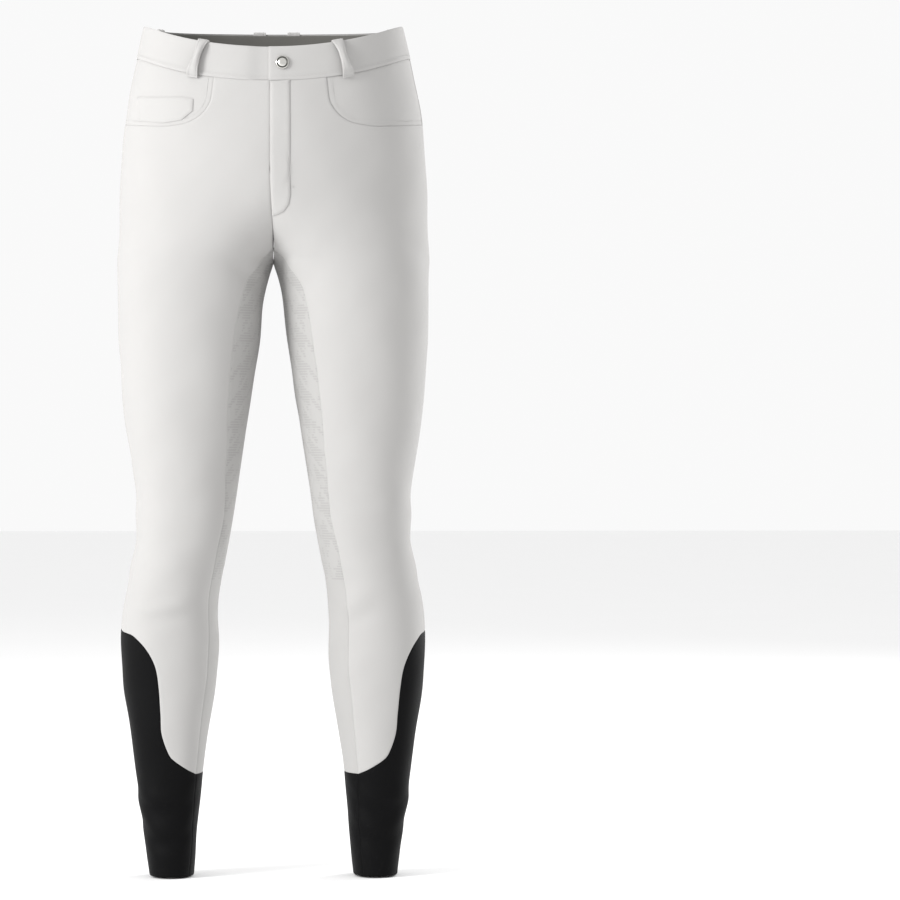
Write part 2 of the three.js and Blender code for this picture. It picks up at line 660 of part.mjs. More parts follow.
function bodyPanels(side, suffix) {
  const line = seamLines(side);
  const loops = {
    front: [line.waistFront, line.scoop, line.outseam, reversed(line.shinEdge), reversed(line.innerSeam),
      reversed(line.fly)],
    pocket_facing: [line.waistFacing, line.yokeSideUp, line.yokeSideLow, reversed(line.scoop)],
    yoke: [line.waistYoke, line.yokeMiddle, line.yokeEdge, reversed(line.yokeSideUp)],
    side_back: [reversed(line.yokeEdge), line.sideMiddle, line.seatSeam, reversed(line.notchEdge),
      reversed(line.calfEdge), reversed(line.lobeTop), reversed(line.outseam), reversed(line.yokeSideLow)],
    seat: [line.seatMiddle, turnedOn(reversed(line.underFork)), turnedOn(line.innerSeam),
      reversed(line.ankleEdge), reversed(line.seatSeam)],
    sock_outer: [line.shinEdge, line.lobeTop, line.calfEdge, line.heelSeam, reversed(line.hemFront),
      reversed(line.ankleSeam)],
    sock_back: [line.notchEdge, line.ankleEdge, turnedOn(line.ankleSeam), reversed(line.hemBack),
      reversed(line.heelSeam)],
  };
  const looks = { seat: check, sock_outer: dark, sock_back: dark };
  const fine = { across: ANKLE_ACROSS_STEP, down: ANKLE_DOWN_STEP };
  const extra = { pocket_facing: { out: -FACING_IN }, sock_outer: fine, sock_back: fine };
  return Object.entries(loops).map(([name, lines]) => (
    clothPiece(`${name}_${suffix}`, side, lines.flat(), looks[name] ?? pale, extra[name])));
}

function backPockets(side, suffix) {
  const pocketOut = TRIM_GAP + POCKET_WALL;
  const flapOut = pocketOut + TRIM_GAP + FLAP_WALL;
  return [
    trimPiece(`back_pocket_${suffix}`, side, BACK_POCKET, true, { out: pocketOut, wall: POCKET_WALL }),
    trimPiece(`pocket_flap_${suffix}`, side, FLAP, true, { out: flapOut, wall: FLAP_WALL }),
    fastening(`flap_snap_${suffix}`, side, SNAP_AT, true, flapOut + LAYER_GAP, SNAP_PROFILE),
  ];
}

function fastening(name, side, { x, z }, behind, out, profile) {
  const turn = turnAt(x, z, behind);
  const points = profile.map(([radius, height]) => new THREE.Vector2(radius, height));
  const mesh = new THREE.Mesh(new THREE.LatheGeometry(points, ROUND_SIDES), metal);
  mesh.name = name;
  mesh.position.copy(clothPoint(side, turn, z, out));
  mesh.quaternion.setFromUnitVectors(new THREE.Vector3(0, 1, 0), outwards(foldedPoint, side, turn, z));
  return mesh;
}

// A place on the band. Its angle runs from the middle of the front towards the wearer's left, and may be
// negative.
function bandPoint(angle, share, out, topDrop, lowRise) {
  const wrapped = THREE.MathUtils.euclideanModulo(angle + OUTSIDE, FULL_TURN) - OUTSIDE;
  const side = wrapped < 0 ? WEARER_RIGHT : WEARER_LEFT;
  const turn = FRONT + Math.abs(wrapped);
  const z = THREE.MathUtils.lerp(waistTopZ(turn) - topDrop, waistSeamZ(turn) + lowRise, share);
  return clothPoint(side, turn, z, out);
}

// The right end dips under the left end by the band's own wall and a gap.
function waistband() {
  const under = BAND_WALL + LAYER_GAP;
  const place = (along, share, layer) => {
    const angle = THREE.MathUtils.lerp(BAND_UNDER_END, BAND_OVER_END - FULL_TURN, along);
    const sunk = under * THREE.MathUtils.smoothstep(angle, BAND_LEVEL_FROM, BAND_UNDER_FROM);
    return bandPoint(angle, share, BAND_OUT - sunk - layer * BAND_WALL, 0, SEAM_GAP / 2);
  };
  return stripSolid('waistband', BAND_STATIONS, BAND_ROWS, place, pale);
}

function waistbandLining() {
  const outer = BAND_OUT - BAND_WALL - LAYER_GAP;
  const place = (along, share, layer) => {
    const angle = THREE.MathUtils.lerp(LINING_END, LINING_START - FULL_TURN, along);
    return bandPoint(angle, share, outer - layer * LINING_WALL, LINING_TOP_DROP, LINING_LOW_RISE);
  };
  return stripSolid('waistband_lining', BAND_STATIONS, 1, place, lining);
}

function beltLoop(side, suffix, { name, topX, lowX, behind, tail }) {
  const topTurn = turnAt(topX, SIDE_TOP_Z, behind);
  const lowTurn = turnAt(lowX, SIDE_SEAM_Z, behind);
  const length = waistTopZ(topTurn) - waistSeamZ(lowTurn) + tail;
  const path = [
    ...LOOP_TOP_PATH.points().map(({ stand, drop }) => new THREE.Vector2(stand, drop)),
    ...LOOP_LOW_PATH.points().map(({ stand, left }) => new THREE.Vector2(stand, length - left)),
  ];
  const curve = new THREE.SplineCurve(path);
  const place = (along, share, layer) => {
    const middle = curve.getPointAt(along);
    const ahead = curve.getTangentAt(along);
    const lift = (0.5 - layer) * LOOP_WALL;
    const [stand, drop] = [middle.x + ahead.y * lift, middle.y - ahead.x * lift];
    const width = ((share - 0.5) * LOOP_WIDTH * FULL_TURN) / girthAt(-drop);
    const turn = THREE.MathUtils.lerp(topTurn, lowTurn, THREE.MathUtils.clamp(drop / length, 0, 1)) + width;
    return clothPoint(side, turn, waistTopZ(turn) - drop, stand);
  };
  return stripSolid(`belt_loop_${name}_${suffix}`, LOOP_STATIONS, 1, place, pale);
}

const breeches = new THREE.Group();
for (const [side, suffix] of [[WEARER_LEFT, 'left'], [WEARER_RIGHT, 'right']]) {
  breeches.add(...bodyPanels(side, suffix), ...backPockets(side, suffix));
  breeches.add(...BELT_LOOPS.map((loop) => beltLoop(side, suffix, loop)));
}
breeches.add(waistband(), waistbandLining());
breeches.add(trimPiece('fly_placket', WEARER_LEFT, PLACKET, false, {
  out: TRIM_GAP + POCKET_WALL, wall: POCKET_WALL,
}));
breeches.add(trimPiece('coin_pocket', WEARER_RIGHT, COIN_POCKET, false, {
  out: TRIM_GAP + POCKET_WALL - FACING_IN, wall: POCKET_WALL,
}));
breeches.add(fastening('waist_button', WEARER_LEFT, BUTTON_AT, false, BAND_OUT + LAYER_GAP, BUTTON_PROFILE));

export default breeches;
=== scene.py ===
"""Riding breeches, filled out as if worn, cut flat and wrapped round their packed form.

The pattern is in millimetres and the meshes are in metres. The wearer faces -Y, and the wearer's left is +X.
A turn is an angle round one leg in degrees: 0 inside, 90 front, 180 outside, 270 back, 360 inside again.
"""

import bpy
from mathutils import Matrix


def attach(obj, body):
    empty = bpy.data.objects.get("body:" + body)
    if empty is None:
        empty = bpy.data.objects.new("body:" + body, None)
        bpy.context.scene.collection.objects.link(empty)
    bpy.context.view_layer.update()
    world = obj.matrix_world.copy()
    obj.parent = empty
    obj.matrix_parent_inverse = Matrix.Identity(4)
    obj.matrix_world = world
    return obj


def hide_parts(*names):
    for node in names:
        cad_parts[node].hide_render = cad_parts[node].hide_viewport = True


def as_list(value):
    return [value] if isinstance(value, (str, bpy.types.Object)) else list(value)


bl_info = {
    "name": "Riding breeches",
    "version": (1, 0, 0),
    "blender": (4, 5, 0),
    "location": "3D View > Sidebar > Breeches",
    "description": "Cuts, wraps and sews a pair of riding breeches round its packed form",
    "category": "Object",
}

import math

import bmesh
import bpy
import numpy as np
from mathutils import Matrix, Vector

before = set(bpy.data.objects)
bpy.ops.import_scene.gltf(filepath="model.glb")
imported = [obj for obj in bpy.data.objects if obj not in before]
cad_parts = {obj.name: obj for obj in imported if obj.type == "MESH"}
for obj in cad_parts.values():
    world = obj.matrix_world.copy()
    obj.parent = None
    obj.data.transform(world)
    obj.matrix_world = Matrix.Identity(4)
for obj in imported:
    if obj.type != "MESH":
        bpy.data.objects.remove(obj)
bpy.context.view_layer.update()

MM = 0.001
FRONT, OUTSIDE, BACK, FULL_TURN = 90, 180, 270, 360
WEARER_LEFT, WEARER_RIGHT = 1, -1
SIDES = ((WEARER_LEFT, "left"), (WEARER_RIGHT, "right"))

# Waist, hem and fork
SIDE_TOP_Z, FRONT_DIP, BACK_RISE = 24.5, 33.5, 2.5
SIDE_SEAM_Z, FRONT_SEAM_DIP, BACK_SEAM_RISE = -14, 35, 7
FORK_Z, INSEAM_TOP_Z, HEM_Z = -257, -245, -991

# Corner heights of the pattern
YOKE_SIDE_Z, YOKE_CENTRE_Z = -60, -66
POCKET_SIDE_Z, ARCH_CENTRE_Z, POCKET_MOUTH_X = -92, -109, 66

# The body form
SQUARENESS = 0.08
TORSO_TURN, TORSO_TURN_TOP_Z = -2.2, -150
LEG_TWIST, LEG_TWIST_TOP_Z, LEG_TWIST_LOW_Z = 8, -350, -650
SEARCH_STEPS, TURN_NUDGE, HEIGHT_NUDGE = 34, 0.25, 0.5
WAIST_POINTS, MIDDLE_POINTS, SPLINE_SAMPLES = 8, 24, 60


class Table:
    """Rows that are read smoothly by their first column, without overshoot."""

    def __init__(self, columns, rows):
        self.columns = columns
        self.rows = np.array(rows, float)
        self.slopes = {}

    def slopes_of(self, column):
        if column not in self.slopes:
            at, values = self.rows[:, 0], self.rows[:, column]
            secants = np.diff(values) / np.diff(at)
            before, after = secants[:-1], secants[1:]
            same = before * after > 0
            inner = np.where(same, 2 * before * after / np.where(same, before + after, 1), 0)
            self.slopes[column] = np.concatenate([secants[:1], inner, secants[-1:]])
        return self.slopes[column]

    def read(self, name, at):
        column = self.columns.index(name)
        places, values, slopes = self.rows[:, 0], self.rows[:, column], self.slopes_of(column)
        direction = np.sign(places[1] - places[0])
        row = np.searchsorted(places * direction, np.asarray(at) * direction, side="right") - 1
        row = np.clip(row, 0, len(places) - 2)
        span = places[row + 1] - places[row]
        t = np.clip((at - places[row]) / span, 0, 1)
        rest = 1 - t
        return (
            values[row] * (1 + 2 * t) * rest**2
            + values[row + 1] * t**2 * (3 - 2 * t)
            + slopes[row] * span * t * rest**2
            - slopes[row + 1] * span * t**2 * rest
        )

    def points(self):
        return [tuple(row) for row in self.rows]


# Level sections of one side: the outer and inner edge and the leg's axis across from the middle of the body,
# and the reach to the front and back. Above the fork the inner edge lies past the middle, where the two
# sides cut each other off.
SECTIONS = Table(
    ("z", "outer", "inner", "axis", "front", "back"),
    [
        (30, 154, -154, 0, 103, 104),
        (-15, 163.7, -163.7, 0, 107, 110),
        (-60, 173.8, -173.8, 0, 110, 119),
        (-110, 180.7, -180.7, 0, 111, 128),
        (-150, 183.2, -165, 12, 110, 132),
        (-180, 184.2, -110, 30, 109, 132),
        (-205, 184.8, -65, 52, 107, 129),
        (-230, 185.4, -32, 73, 104, 122),
        (-245, 185.9, -13, 83, 102, 116),
        (-257, 186.2, 0, 90, 101, 111),
        (-302, 186.2, 10.9, 98.5, 98, 100),
        (-350, 184.8, 16.2, 100.5, 94, 94),
        (-398, 182, 23.4, 102.7, 90, 89),
        (-446, 177.8, 30.8, 104.3, 86, 81),
        (-494, 169.8, 38, 103.9, 80, 70),
        (-542, 164.2, 45, 104.6, 73, 60),
        (-566, 163.4, 48.6, 106, 70, 57),
        (-590, 165.2, 52.9, 109, 68, 60),
        (-614, 168.2, 57.8, 113, 65, 67),
        (-638, 173.3, 62.9, 118, 62, 74),
        (-662, 178.8, 65.6, 122.2, 58, 80),
        (-686, 182, 66.2, 124.1, 54, 84),
        (-710, 183.1, 65.6, 124.4, 50, 86),
        (-758, 180, 68.4, 124.2, 43, 82),
        (-830, 170.2, 79.9, 125, 35, 67),
        (-878, 163.6, 85.6, 124.6, 31, 57),
        (-926, 157.7, 90, 123.9, 29, 50),
        (-992, 148.8, 95.8, 122.3, 28, 46),
    ],
)

# Seams down the leg, by turn and height: the outseam, the one inside the front, and the seat's.
OUTSEAM = [
    (180, POCKET_SIDE_Z), (180, -220), (180, -350), (180, -480), (179, -530), (174.5, -570), (164, -614),
    (160, -655), (158, -700),
]  # fmt: skip
INNER_SEAM = [
    (44, -283), (50, -325), (52, -375), (52, -410), (49, -470), (47, -520), (47, -590), (46, -650),
    (47, -722), (48, -800), (48, -868.5),
]  # fmt: skip
SEAT_SEAM = [
    (239, -218), (244, -258), (249, -300), (253, -345), (256.7, -392), (261, -440), (266.6, -540),
    (274.6, -635), (276, -706), (280, -790), (280, -865),
]  # fmt: skip

# The top edge of the dark lower leg: shin, lobe up the calf, notch behind, and ankle.
SHIN_EDGE = [
    (48, -868.5), (67, -862.8), (89, -852), (98, -843), (107, -820), (108, -795.6), (109.5, -765.6),
    (113.5, -738), (124.7, -717), (142, -703.5), (158, -700),
]  # fmt: skip
LOBE_TOP_EDGE = [(158, -700), (172, -698.4), (188, -695)]
CALF_EDGE = [
    (188, -695), (192, -714), (204.7, -735), (211, -767), (212.8, -799), (216.5, -818.4), (227, -835),
    (240, -848.4), (248, -856.8),
]  # fmt: skip
NOTCH_EDGE = [(248, -856.8), (262, -863.5), (280, -865)]
ANKLE_EDGE = [(280, -865), (320, -866.4), (360, -867.5), (408, -868.5)]

# Lines and trims given across from the middle of the body, and by height.
ARCH = [(0, ARCH_CENTRE_Z), (35, -111), (67, -115.3), (88, -127), (103, -141.4), (115, -160), (124, -186.6)]
YOKE_EDGE = [(0, YOKE_CENTRE_Z), (25, -63), (50, -59.5), (75, -56), (105, -53), (132, -54), (155, -56.5)]
SCOOP = [(68, -61), (71, -75), (81.4, -88.8), (96.4, -97.2), (118, -100.7), (139, -100)]
FLAP = [
    (49, -60.4), (72, -57.2), (90, -55), (105, -53.9), (132, -55), (150, -56.8), (164, -60), (167.5, -79.4),
    (150, -84.6), (135, -89.1), (120, -85.9), (101, -81.8), (79, -79.9), (61, -80.5),
]  # fmt: skip
BACK_POCKET = [
    (53, -66.5), (75, -61.5), (105, -58.6), (132, -59.8), (150, -62), (168.5, -65.5), (171, -94),
    (170.5, -135), (166, -169.6), (131.5, -192.5), (126.6, -186), (117.5, -158.6), (105, -139),
    (90, -125.5), (70.3, -114), (61, -81),
]  # fmt: skip
COIN_POCKET = [
    (160, -63.5), (134, -66), (101, -67.5), (90.5, -70), (91, -84), (105, -94.5), (128, -97), (158, -92),
]  # fmt: skip
PLACKET = [
    (0.4, -50.2), (23, -48.4), (23.4, -120), (23, -182), (20.5, -194), (14, -202), (5, -206), (0.4, -207),
]  # fmt: skip

# Folds and creases: which side, with 0 for both, where, how long and wide, how they lean in degrees, how
# far their ends rise, and how proud they stand, or how deep with a minus.
FOLDS = [
    (-1, 95, -668, 30, 9, -6, 2, 2.4),
    (-1, 100, -684, 26, 9, -4, 2, -1.6),
    (1, 62, -662, 22, 12, 28, 0, 2.2),
    (1, 70, -682, 22, 10, 20, 0, -1.4),
    (0, 100, -898, 34, 9, 0, 10, 1.8),
    (0, 96, -914, 34, 8, 0, 12, -1.6),
    (0, 98, -934, 32, 9, 2, 12, 1.9),
    (0, 94, -951, 30, 8, -4, 10, -1.5),
    (0, 98, -966, 26, 8, -2, 8, 1.3),
    (-1, 282, -318, 52, 11, 66, 0, 2.4),
    (-1, 296, -332, 46, 10, 70, 0, -1.8),
    (1, 290, -312, 44, 12, 74, 0, 1.8),
    (0, 275, -545, 26, 9, 6, -2, -2.2),
    (0, 268, -568, 30, 9, -8, 2, 2),
    (0, 280, -590, 28, 9, 5, 0, -1.8),
    (0, 42, -262, 42, 9, 20, 0, 1.3),
    (1, 48, -288, 46, 10, 28, 0, -1.1),
    (-1, 44, -280, 40, 9, 24, 0, -1.2),
    (0, 40, -238, 36, 8, 8, 0, -0.9),
    (-1, 128, -208, 62, 16, -14, 0, 1.2),
    (1, 134, -222, 56, 15, -18, 0, 1.1),
    (0, 150, -246, 50, 14, -22, 0, -1),
    (0, 92, -558, 36, 12, 6, 4, 1.5),
    (0, 98, -590, 38, 12, -5, 4, -1.5),
    (0, 88, -620, 34, 11, 8, 0, 1.4),
    (0, 262, -276, 52, 12, 12, -4, 1.5),
    (1, 256, -302, 48, 12, 16, 0, -1.4),
    (0, 186, -560, 42, 13, -8, 0, 1.6),
    (0, 180, -590, 40, 12, 6, 0, -1.5),
    (0, 176, -622, 38, 12, -4, 0, 1.4),
    (0, 192, -252, 62, 18, 24, 0, 1.3),
    (0, 58, -742, 42, 14, 30, 0, 1),
    (0, 262, -904, 34, 9, 4, -8, 1.6),
    (0, 270, -924, 34, 9, -4, -8, -1.5),
    (0, 262, -947, 32, 9, 2, -8, 1.6),
    (0, 268, -965, 30, 8, 0, -6, -1.3),
    (0, 176, -900, 30, 10, -6, 0, 1.3),
    (0, 182, -925, 30, 10, 6, 0, -1.3),
    (-1, 146, -66, 26, 4, 5, 0, 0.7),
    (-1, 150, -78, 30, 5, -4, 0, -0.7),
]

# Slow swells in the cloth: wave numbers across, back and up in turns a metre, a phase, and a height.
SWELLS = [
    (9.0, 4.0, 7.0, 0.3, 0.30),
    (-6.0, 8.0, 12.0, 1.9, 0.26),
    (14.0, -5.0, 5.0, 4.1, 0.18),
    (5.0, 16.0, -11.0, 2.6, 0.16),
    (-19.0, 7.0, 17.0, 5.2, 0.10),
]

# Belt loops: where the middle of each lies at its top and bottom edge, and how far it runs under the band.
LOOP_WIDTH = 12.6
BELT_LOOPS = [
    ("front", 76, 88, False, 6, 0.42), ("side", 139, 147, True, 16.5, 0.3), ("back", 21, 21, True, 10, 0.15),
]  # fmt: skip
LOOP_TOP_PATH = [
    (-2.6, 3.6), (-2.6, 0.2), (-1.9, -1.4), (-0.4, -1.9), (1.2, -1.6), (3.2, 0.2), (5.6, 3.4), (8.5, 8.6),
    (9.3, 13.5),
]  # fmt: skip
LOOP_LOW_PATH = [(9.3, 15), (8.5, 9.4), (5.4, 4.2), (2.3, 1.4), (1.9, 0)]

# Metal fastenings, as profiles of radius and height.
BUTTON_AT = (14.4, -28.1)
BUTTON_PROFILE = [
    (0, 0), (6.4, 0), (7.2, 0.2), (7.7, 0.7), (8, 1.4), (7.9, 2), (7.5, 2.6), (6.9, 2.9), (6.3, 2.8),
    (5.9, 2.5), (5.6, 2.2), (5.2, 2.3), (4.6, 2.8), (3.6, 3.3), (2.2, 3.6), (0, 3.75),
]  # fmt: skip
SNAP_AT = (134, -72.1)
SNAP_PROFILE = [
    (0, 0), (5.1, 0), (5.6, 0.3), (5.8, 0.8), (5.7, 1.3), (5.3, 1.7), (4.9, 1.8), (4.5, 1.6), (4.1, 1.3),
    (3.6, 1.3), (2.8, 1.5), (1.6, 1.75), (0, 1.85),
]  # fmt: skip

# The band's strip round the waist, as angles from the middle of the front towards the wearer's left.
BAND_UNDER_END, BAND_UNDER_FROM, BAND_LEVEL_FROM, BAND_OVER_END = 10, -3, -9, -0.5
LINING_START, LINING_END, LINING_TOP_DROP, LINING_LOW_RISE = 11.5, -12, 1.6, 1.5
BAND_OUT, BAND_HEIGHT, LINING_HEIGHT = 0.6, 40, 36
LAYER_GAP, TRIM_GAP, LAID_GAP, FACING_IN = 0.32, 0.6, 0.12, 0.9
PRESSED_WIDTH, FLAP_TOP_POINTS, FLAP_LIFT = 3.1, 7, 0.9
BAND_ROW, INSET_HALF, INSET_DEPTH = 4.6, 13.5, 0.5

# Rows of topstitching: the seam that each follows, the panel that it shows on, and how far it lies to the
# left of the way that the seam line runs.
GROOVE_DEPTH = 0.35
TOPSTITCHES = [
    ("scoop", "pocket_facing", 5.6), ("yoke_edge", "yoke", -3.4), ("side_middle", "side_back", -2),
    ("seat_middle", "seat", -2), ("seat_seam", "side_back", -3.8),
]  # fmt: skip
ARCH_RIDGE, ARCH_STEP = (1.7, 1.3, -0.35), (0, 2.2, 1.3)
FLY_ROW = [(17.6, -52), (17.6, -120), (17.4, -178), (15.4, -188), (10.5, -196), (4.5, -200.6), (0.8, -201.6)]
FLY_TACK = [(21, -173.5), (28.5, -173.5)]
PATCH_ROWS = [
    [(57.2, -84), (63.6, -82.6), (80, -83), (101, -84.8), (120, -89), (135, -92.2), (150, -87.7), (164, -82.6)],
    [(65, -84), (73.6, -112), (93, -123.3), (108, -137), (120, -156.7), (128.5, -182)],
    [(134, -189), (163.6, -169), (168, -135), (168.6, -97)],
]
PATCH_TACKS = [[(126, -184.5), (132.5, -192.5)], [(52.6, -64), (57, -70)]]


# The body form


def smoothstep(at, low, high):
    t = np.clip((at - low) / (high - low), 0, 1)
    return t * t * (3 - 2 * t)


def girth_at(z):
    """About how long the cloth is all round one leg, or all round the body above the fork."""
    wide = (SECTIONS.read("outer", z) - SECTIONS.read("inner", z)) / 2
    deep = (SECTIONS.read("front", z) + SECTIONS.read("back", z)) / 2
    return 2 * math.pi * np.hypot(wide, deep) / math.sqrt(2)


def across_at(turn, z):
    """How far across from the middle of the body a turn lies, before the body's own turn."""
    axis = SECTIONS.read("axis", z)
    cosine, sine = np.cos(np.radians(turn)), np.sin(np.radians(turn))
    half = np.where(cosine > 0, axis - SECTIONS.read("inner", z), SECTIONS.read("outer", z) - axis)
    return axis - half * cosine * (1 + SQUARENESS * sine**2)


def form_point(side, turn, z):
    front, back = SECTIONS.read("front", z), SECTIONS.read("back", z)
    cosine, sine = np.cos(np.radians(turn)), np.sin(np.radians(turn))
    x = side * across_at(turn, z)
    y = (back - front) / 2 - (front + back) / 2 * sine * (1 + SQUARENESS * cosine**2)
    lean = math.radians(TORSO_TURN) * smoothstep(z, FORK_Z, TORSO_TURN_TOP_Z)
    across, back = x * np.cos(lean) - y * np.sin(lean), x * np.sin(lean) + y * np.cos(lean)
    return np.stack([across, back, z + 0 * x], -1)


def outwards(point_at, side, turn, z):
    around = point_at(side, turn + TURN_NUDGE, z) - point_at(side, turn - TURN_NUDGE, z)
    down = point_at(side, turn, z - HEIGHT_NUDGE) - point_at(side, turn, z + HEIGHT_NUDGE)
    normal = np.cross(around, down)
    return -side * normal / np.linalg.norm(normal, axis=-1, keepdims=True)


def fold_height(side, turn, z):
    girth = girth_at(z)
    height = np.zeros_like(z)
    for which, fold_turn, fold_z, length, width, lean, lift, proud in FOLDS:
        if which not in (0, side):
            continue
        away = np.mod(turn - fold_turn + OUTSIDE, FULL_TURN) - OUTSIDE
        around, rise = away * girth / FULL_TURN, z - fold_z
        cosine, sine = math.cos(math.radians(lean)), math.sin(math.radians(lean))
        along = (around * cosine + rise * sine) / length
        off = (rise * cosine - around * sine - lift * along**2) / width
        height = height + proud * np.exp(-(along**2) - off**2)
    return height


def folded_point(side, turn, z):
    point = form_point(side, turn, z)
    height = fold_height(side, turn, z)
    for across, back, up, phase, swell in SWELLS:
        wave = point @ np.array([across, back, up]) * MM * 2 * math.pi
        height = height + swell * np.sin(wave + phase)
    return point + outwards(form_point, side, turn, z) * height[..., None]


def cloth_point(side, turn, z, out):
    """A point on the cloth's outer face, or out from it."""
    normal = outwards(folded_point, side, turn, z)
    return folded_point(side, turn, z) + normal * np.broadcast_to(out, z.shape)[..., None]


def cut_turn(z):
    """The front's turn where one side is cut off by the middle of the body."""
    low, high = np.zeros_like(z), np.full_like(z, FRONT)
    for _ in range(SEARCH_STEPS):
        middle = (low + high) / 2
        past = across_at(middle, z) < 0
        low, high = np.where(past, middle, low), np.where(past, high, middle)
    turn = np.where(z <= FORK_Z, 0, high)
    return np.where(SECTIONS.read("axis", z) <= 0, FRONT, turn)


def turn_at(x, z, behind):
    """The turn of a place measured across from the middle, on the front or behind."""
    x, z = np.broadcast_arrays(np.asarray(x, float), np.asarray(z, float))
    low, high = cut_turn(z), np.full(z.shape, float(OUTSIDE))
    for _ in range(SEARCH_STEPS):
        middle = (low + high) / 2
        short = across_at(middle, z) < x
        low, high = np.where(short, middle, low), np.where(short, high, middle)
    return FULL_TURN - low if behind else low


def waist_z(turn, side_z, front_rise, back_rise):
    return side_z + np.where(turn < OUTSIDE, front_rise, back_rise) * np.sin(np.radians(turn)) ** 2


def waist_top_z(turn):
    return waist_z(turn, SIDE_TOP_Z, -FRONT_DIP, BACK_RISE)


def waist_seam_z(turn):
    return waist_z(turn, SIDE_SEAM_Z, -FRONT_SEAM_DIP, BACK_SEAM_RISE)


# Seam lines in the flat, as rows of x and y


def flat(turn, z):
    turn, z = np.broadcast_arrays(np.asarray(turn, float), np.asarray(z, float))
    return np.stack([(turn - OUTSIDE) * girth_at(z) / FULL_TURN, z], -1)


def unflat(points):
    return OUTSIDE + points[:, 0] * FULL_TURN / girth_at(points[:, 1]), points[:, 1]


def lengths_along(line):
    return np.concatenate([[0], np.cumsum(np.linalg.norm(np.diff(line, axis=0), axis=1))])


def evenly(line, step):
    """The same line with evenly spaced points."""
    along = lengths_along(line)
    count = max(1, round(along[-1] / step))
    places = np.linspace(0, along[-1], count + 1)
    return np.stack([np.interp(places, along, line[:, k]) for k in range(line.shape[1])], -1)


def spline(points):
    """Many points on a smooth line through the points given."""
    padded = np.vstack([points[:1], points, points[-1:]])
    t = np.linspace(0, 1, SPLINE_SAMPLES, endpoint=False)[:, None]
    pieces = []
    for before, start, end, after in zip(padded, padded[1:], padded[2:], padded[3:]):
        leave, arrive = (end - before) / 2, (after - start) / 2
        cubic = 2 * start - 2 * end + leave + arrive
        square = -3 * start + 3 * end - 2 * leave - arrive
        pieces.append(cubic * t**3 + square * t**2 + leave * t + start)
    return np.vstack([*pieces, points[-1:]])


def seam_line(places, step):
    turns, heights = np.array(places, float).T
    return evenly(spline(flat(turns, heights)), step)


def reverse(line):
    return line[::-1]


def turned_on(line):
    """The same line, one whole turn further round the leg."""
    return line + np.stack([girth_at(line[:, 1]), np.zeros(len(line))], -1)


def twisted(side, places):
    """Seams of a leg are turned round it, both legs the same way as seen from above."""
    turned = []
    for turn, z in places:
        ease = 1 - smoothstep(z, LEG_TWIST_LOW_Z, LEG_TWIST_TOP_Z)
        turned.append((turn + side * LEG_TWIST * ease, z))
    return turned


def placed(corners, behind):
    """Places given across from the middle, as turns and heights."""
    across, heights = np.array(corners, float).T
    return list(zip(turn_at(across, heights, behind), heights))


def waist_line(from_turn, to_turn, step):
    turns = np.linspace(from_turn, to_turn, WAIST_POINTS + 1)
    return seam_line(list(zip(turns, waist_seam_z(turns))), step)


def middle_line(from_z, to_z, behind, step):
    share = np.sin(np.linspace(0, math.pi / 2, MIDDLE_POINTS + 1))
    heights = from_z + (to_z - from_z) * share
    turns = cut_turn(heights)
    return seam_line(list(zip(FULL_TURN - turns if behind else turns, heights)), step)


def seam_lines(side, step):
    def leg(places):
        return seam_line(twisted(side, places), step)

    near_mouth = turn_at(POCKET_MOUTH_X, SIDE_SEAM_Z, False)
    mouth_turn = float(turn_at(POCKET_MOUTH_X, waist_seam_z(near_mouth), False))
    mouth = (mouth_turn, float(waist_seam_z(mouth_turn)))
    yoke_side, pocket_side = (OUTSIDE, YOKE_SIDE_Z), (OUTSIDE, POCKET_SIDE_Z)
    inner_top = (float(cut_turn(np.array(float(INSEAM_TOP_Z)))), INSEAM_TOP_Z)
    inner = twisted(side, INNER_SEAM)
    ankle, notch = (inner[-1][0], HEM_Z), twisted(side, NOTCH_EDGE)[0]
    heel = (notch[0], HEM_Z)
    front_seam_z, back_seam_z = float(waist_seam_z(FRONT)), float(waist_seam_z(BACK))
    return {
        "waist_front": waist_line(FRONT, mouth_turn, step),
        "waist_facing": waist_line(mouth_turn, OUTSIDE, step),
        "waist_yoke": waist_line(OUTSIDE, BACK, step),
        "scoop": seam_line([mouth, *placed(SCOOP, False), pocket_side], step),
        "fly": middle_line(front_seam_z, INSEAM_TOP_Z, False, step),
        "under_fork": reverse(middle_line(FORK_Z, INSEAM_TOP_Z, False, step)),
        "yoke_side_up": seam_line([(OUTSIDE, float(waist_seam_z(OUTSIDE))), yoke_side], step),
        "yoke_side_low": seam_line([yoke_side, pocket_side], step),
        "outseam": leg(OUTSEAM),
        "inner_seam": seam_line([inner_top, *inner], step),
        "yoke_edge": seam_line([*placed(YOKE_EDGE, True), yoke_side], step),
        "yoke_middle": middle_line(back_seam_z, YOKE_CENTRE_Z, True, step),
        "side_middle": middle_line(YOKE_CENTRE_Z, ARCH_CENTRE_Z, True, step),
        "seat_middle": middle_line(ARCH_CENTRE_Z, FORK_Z, True, step),
        "seat_seam": seam_line([*placed(ARCH, True), *twisted(side, SEAT_SEAM)], step),
        "shin_edge": leg(SHIN_EDGE),
        "lobe_top": leg(LOBE_TOP_EDGE),
        "calf_edge": leg(CALF_EDGE),
        "notch_edge": leg(NOTCH_EDGE),
        "ankle_edge": leg(ANKLE_EDGE),
        "heel_seam": seam_line([notch, heel], step),
        "ankle_seam": seam_line([inner[-1], ankle], step),
        "hem_front": seam_line([ankle, (OUTSIDE, HEM_Z), heel], step),
        "hem_back": seam_line([heel, (ankle[0] + FULL_TURN, HEM_Z)], step),
    }


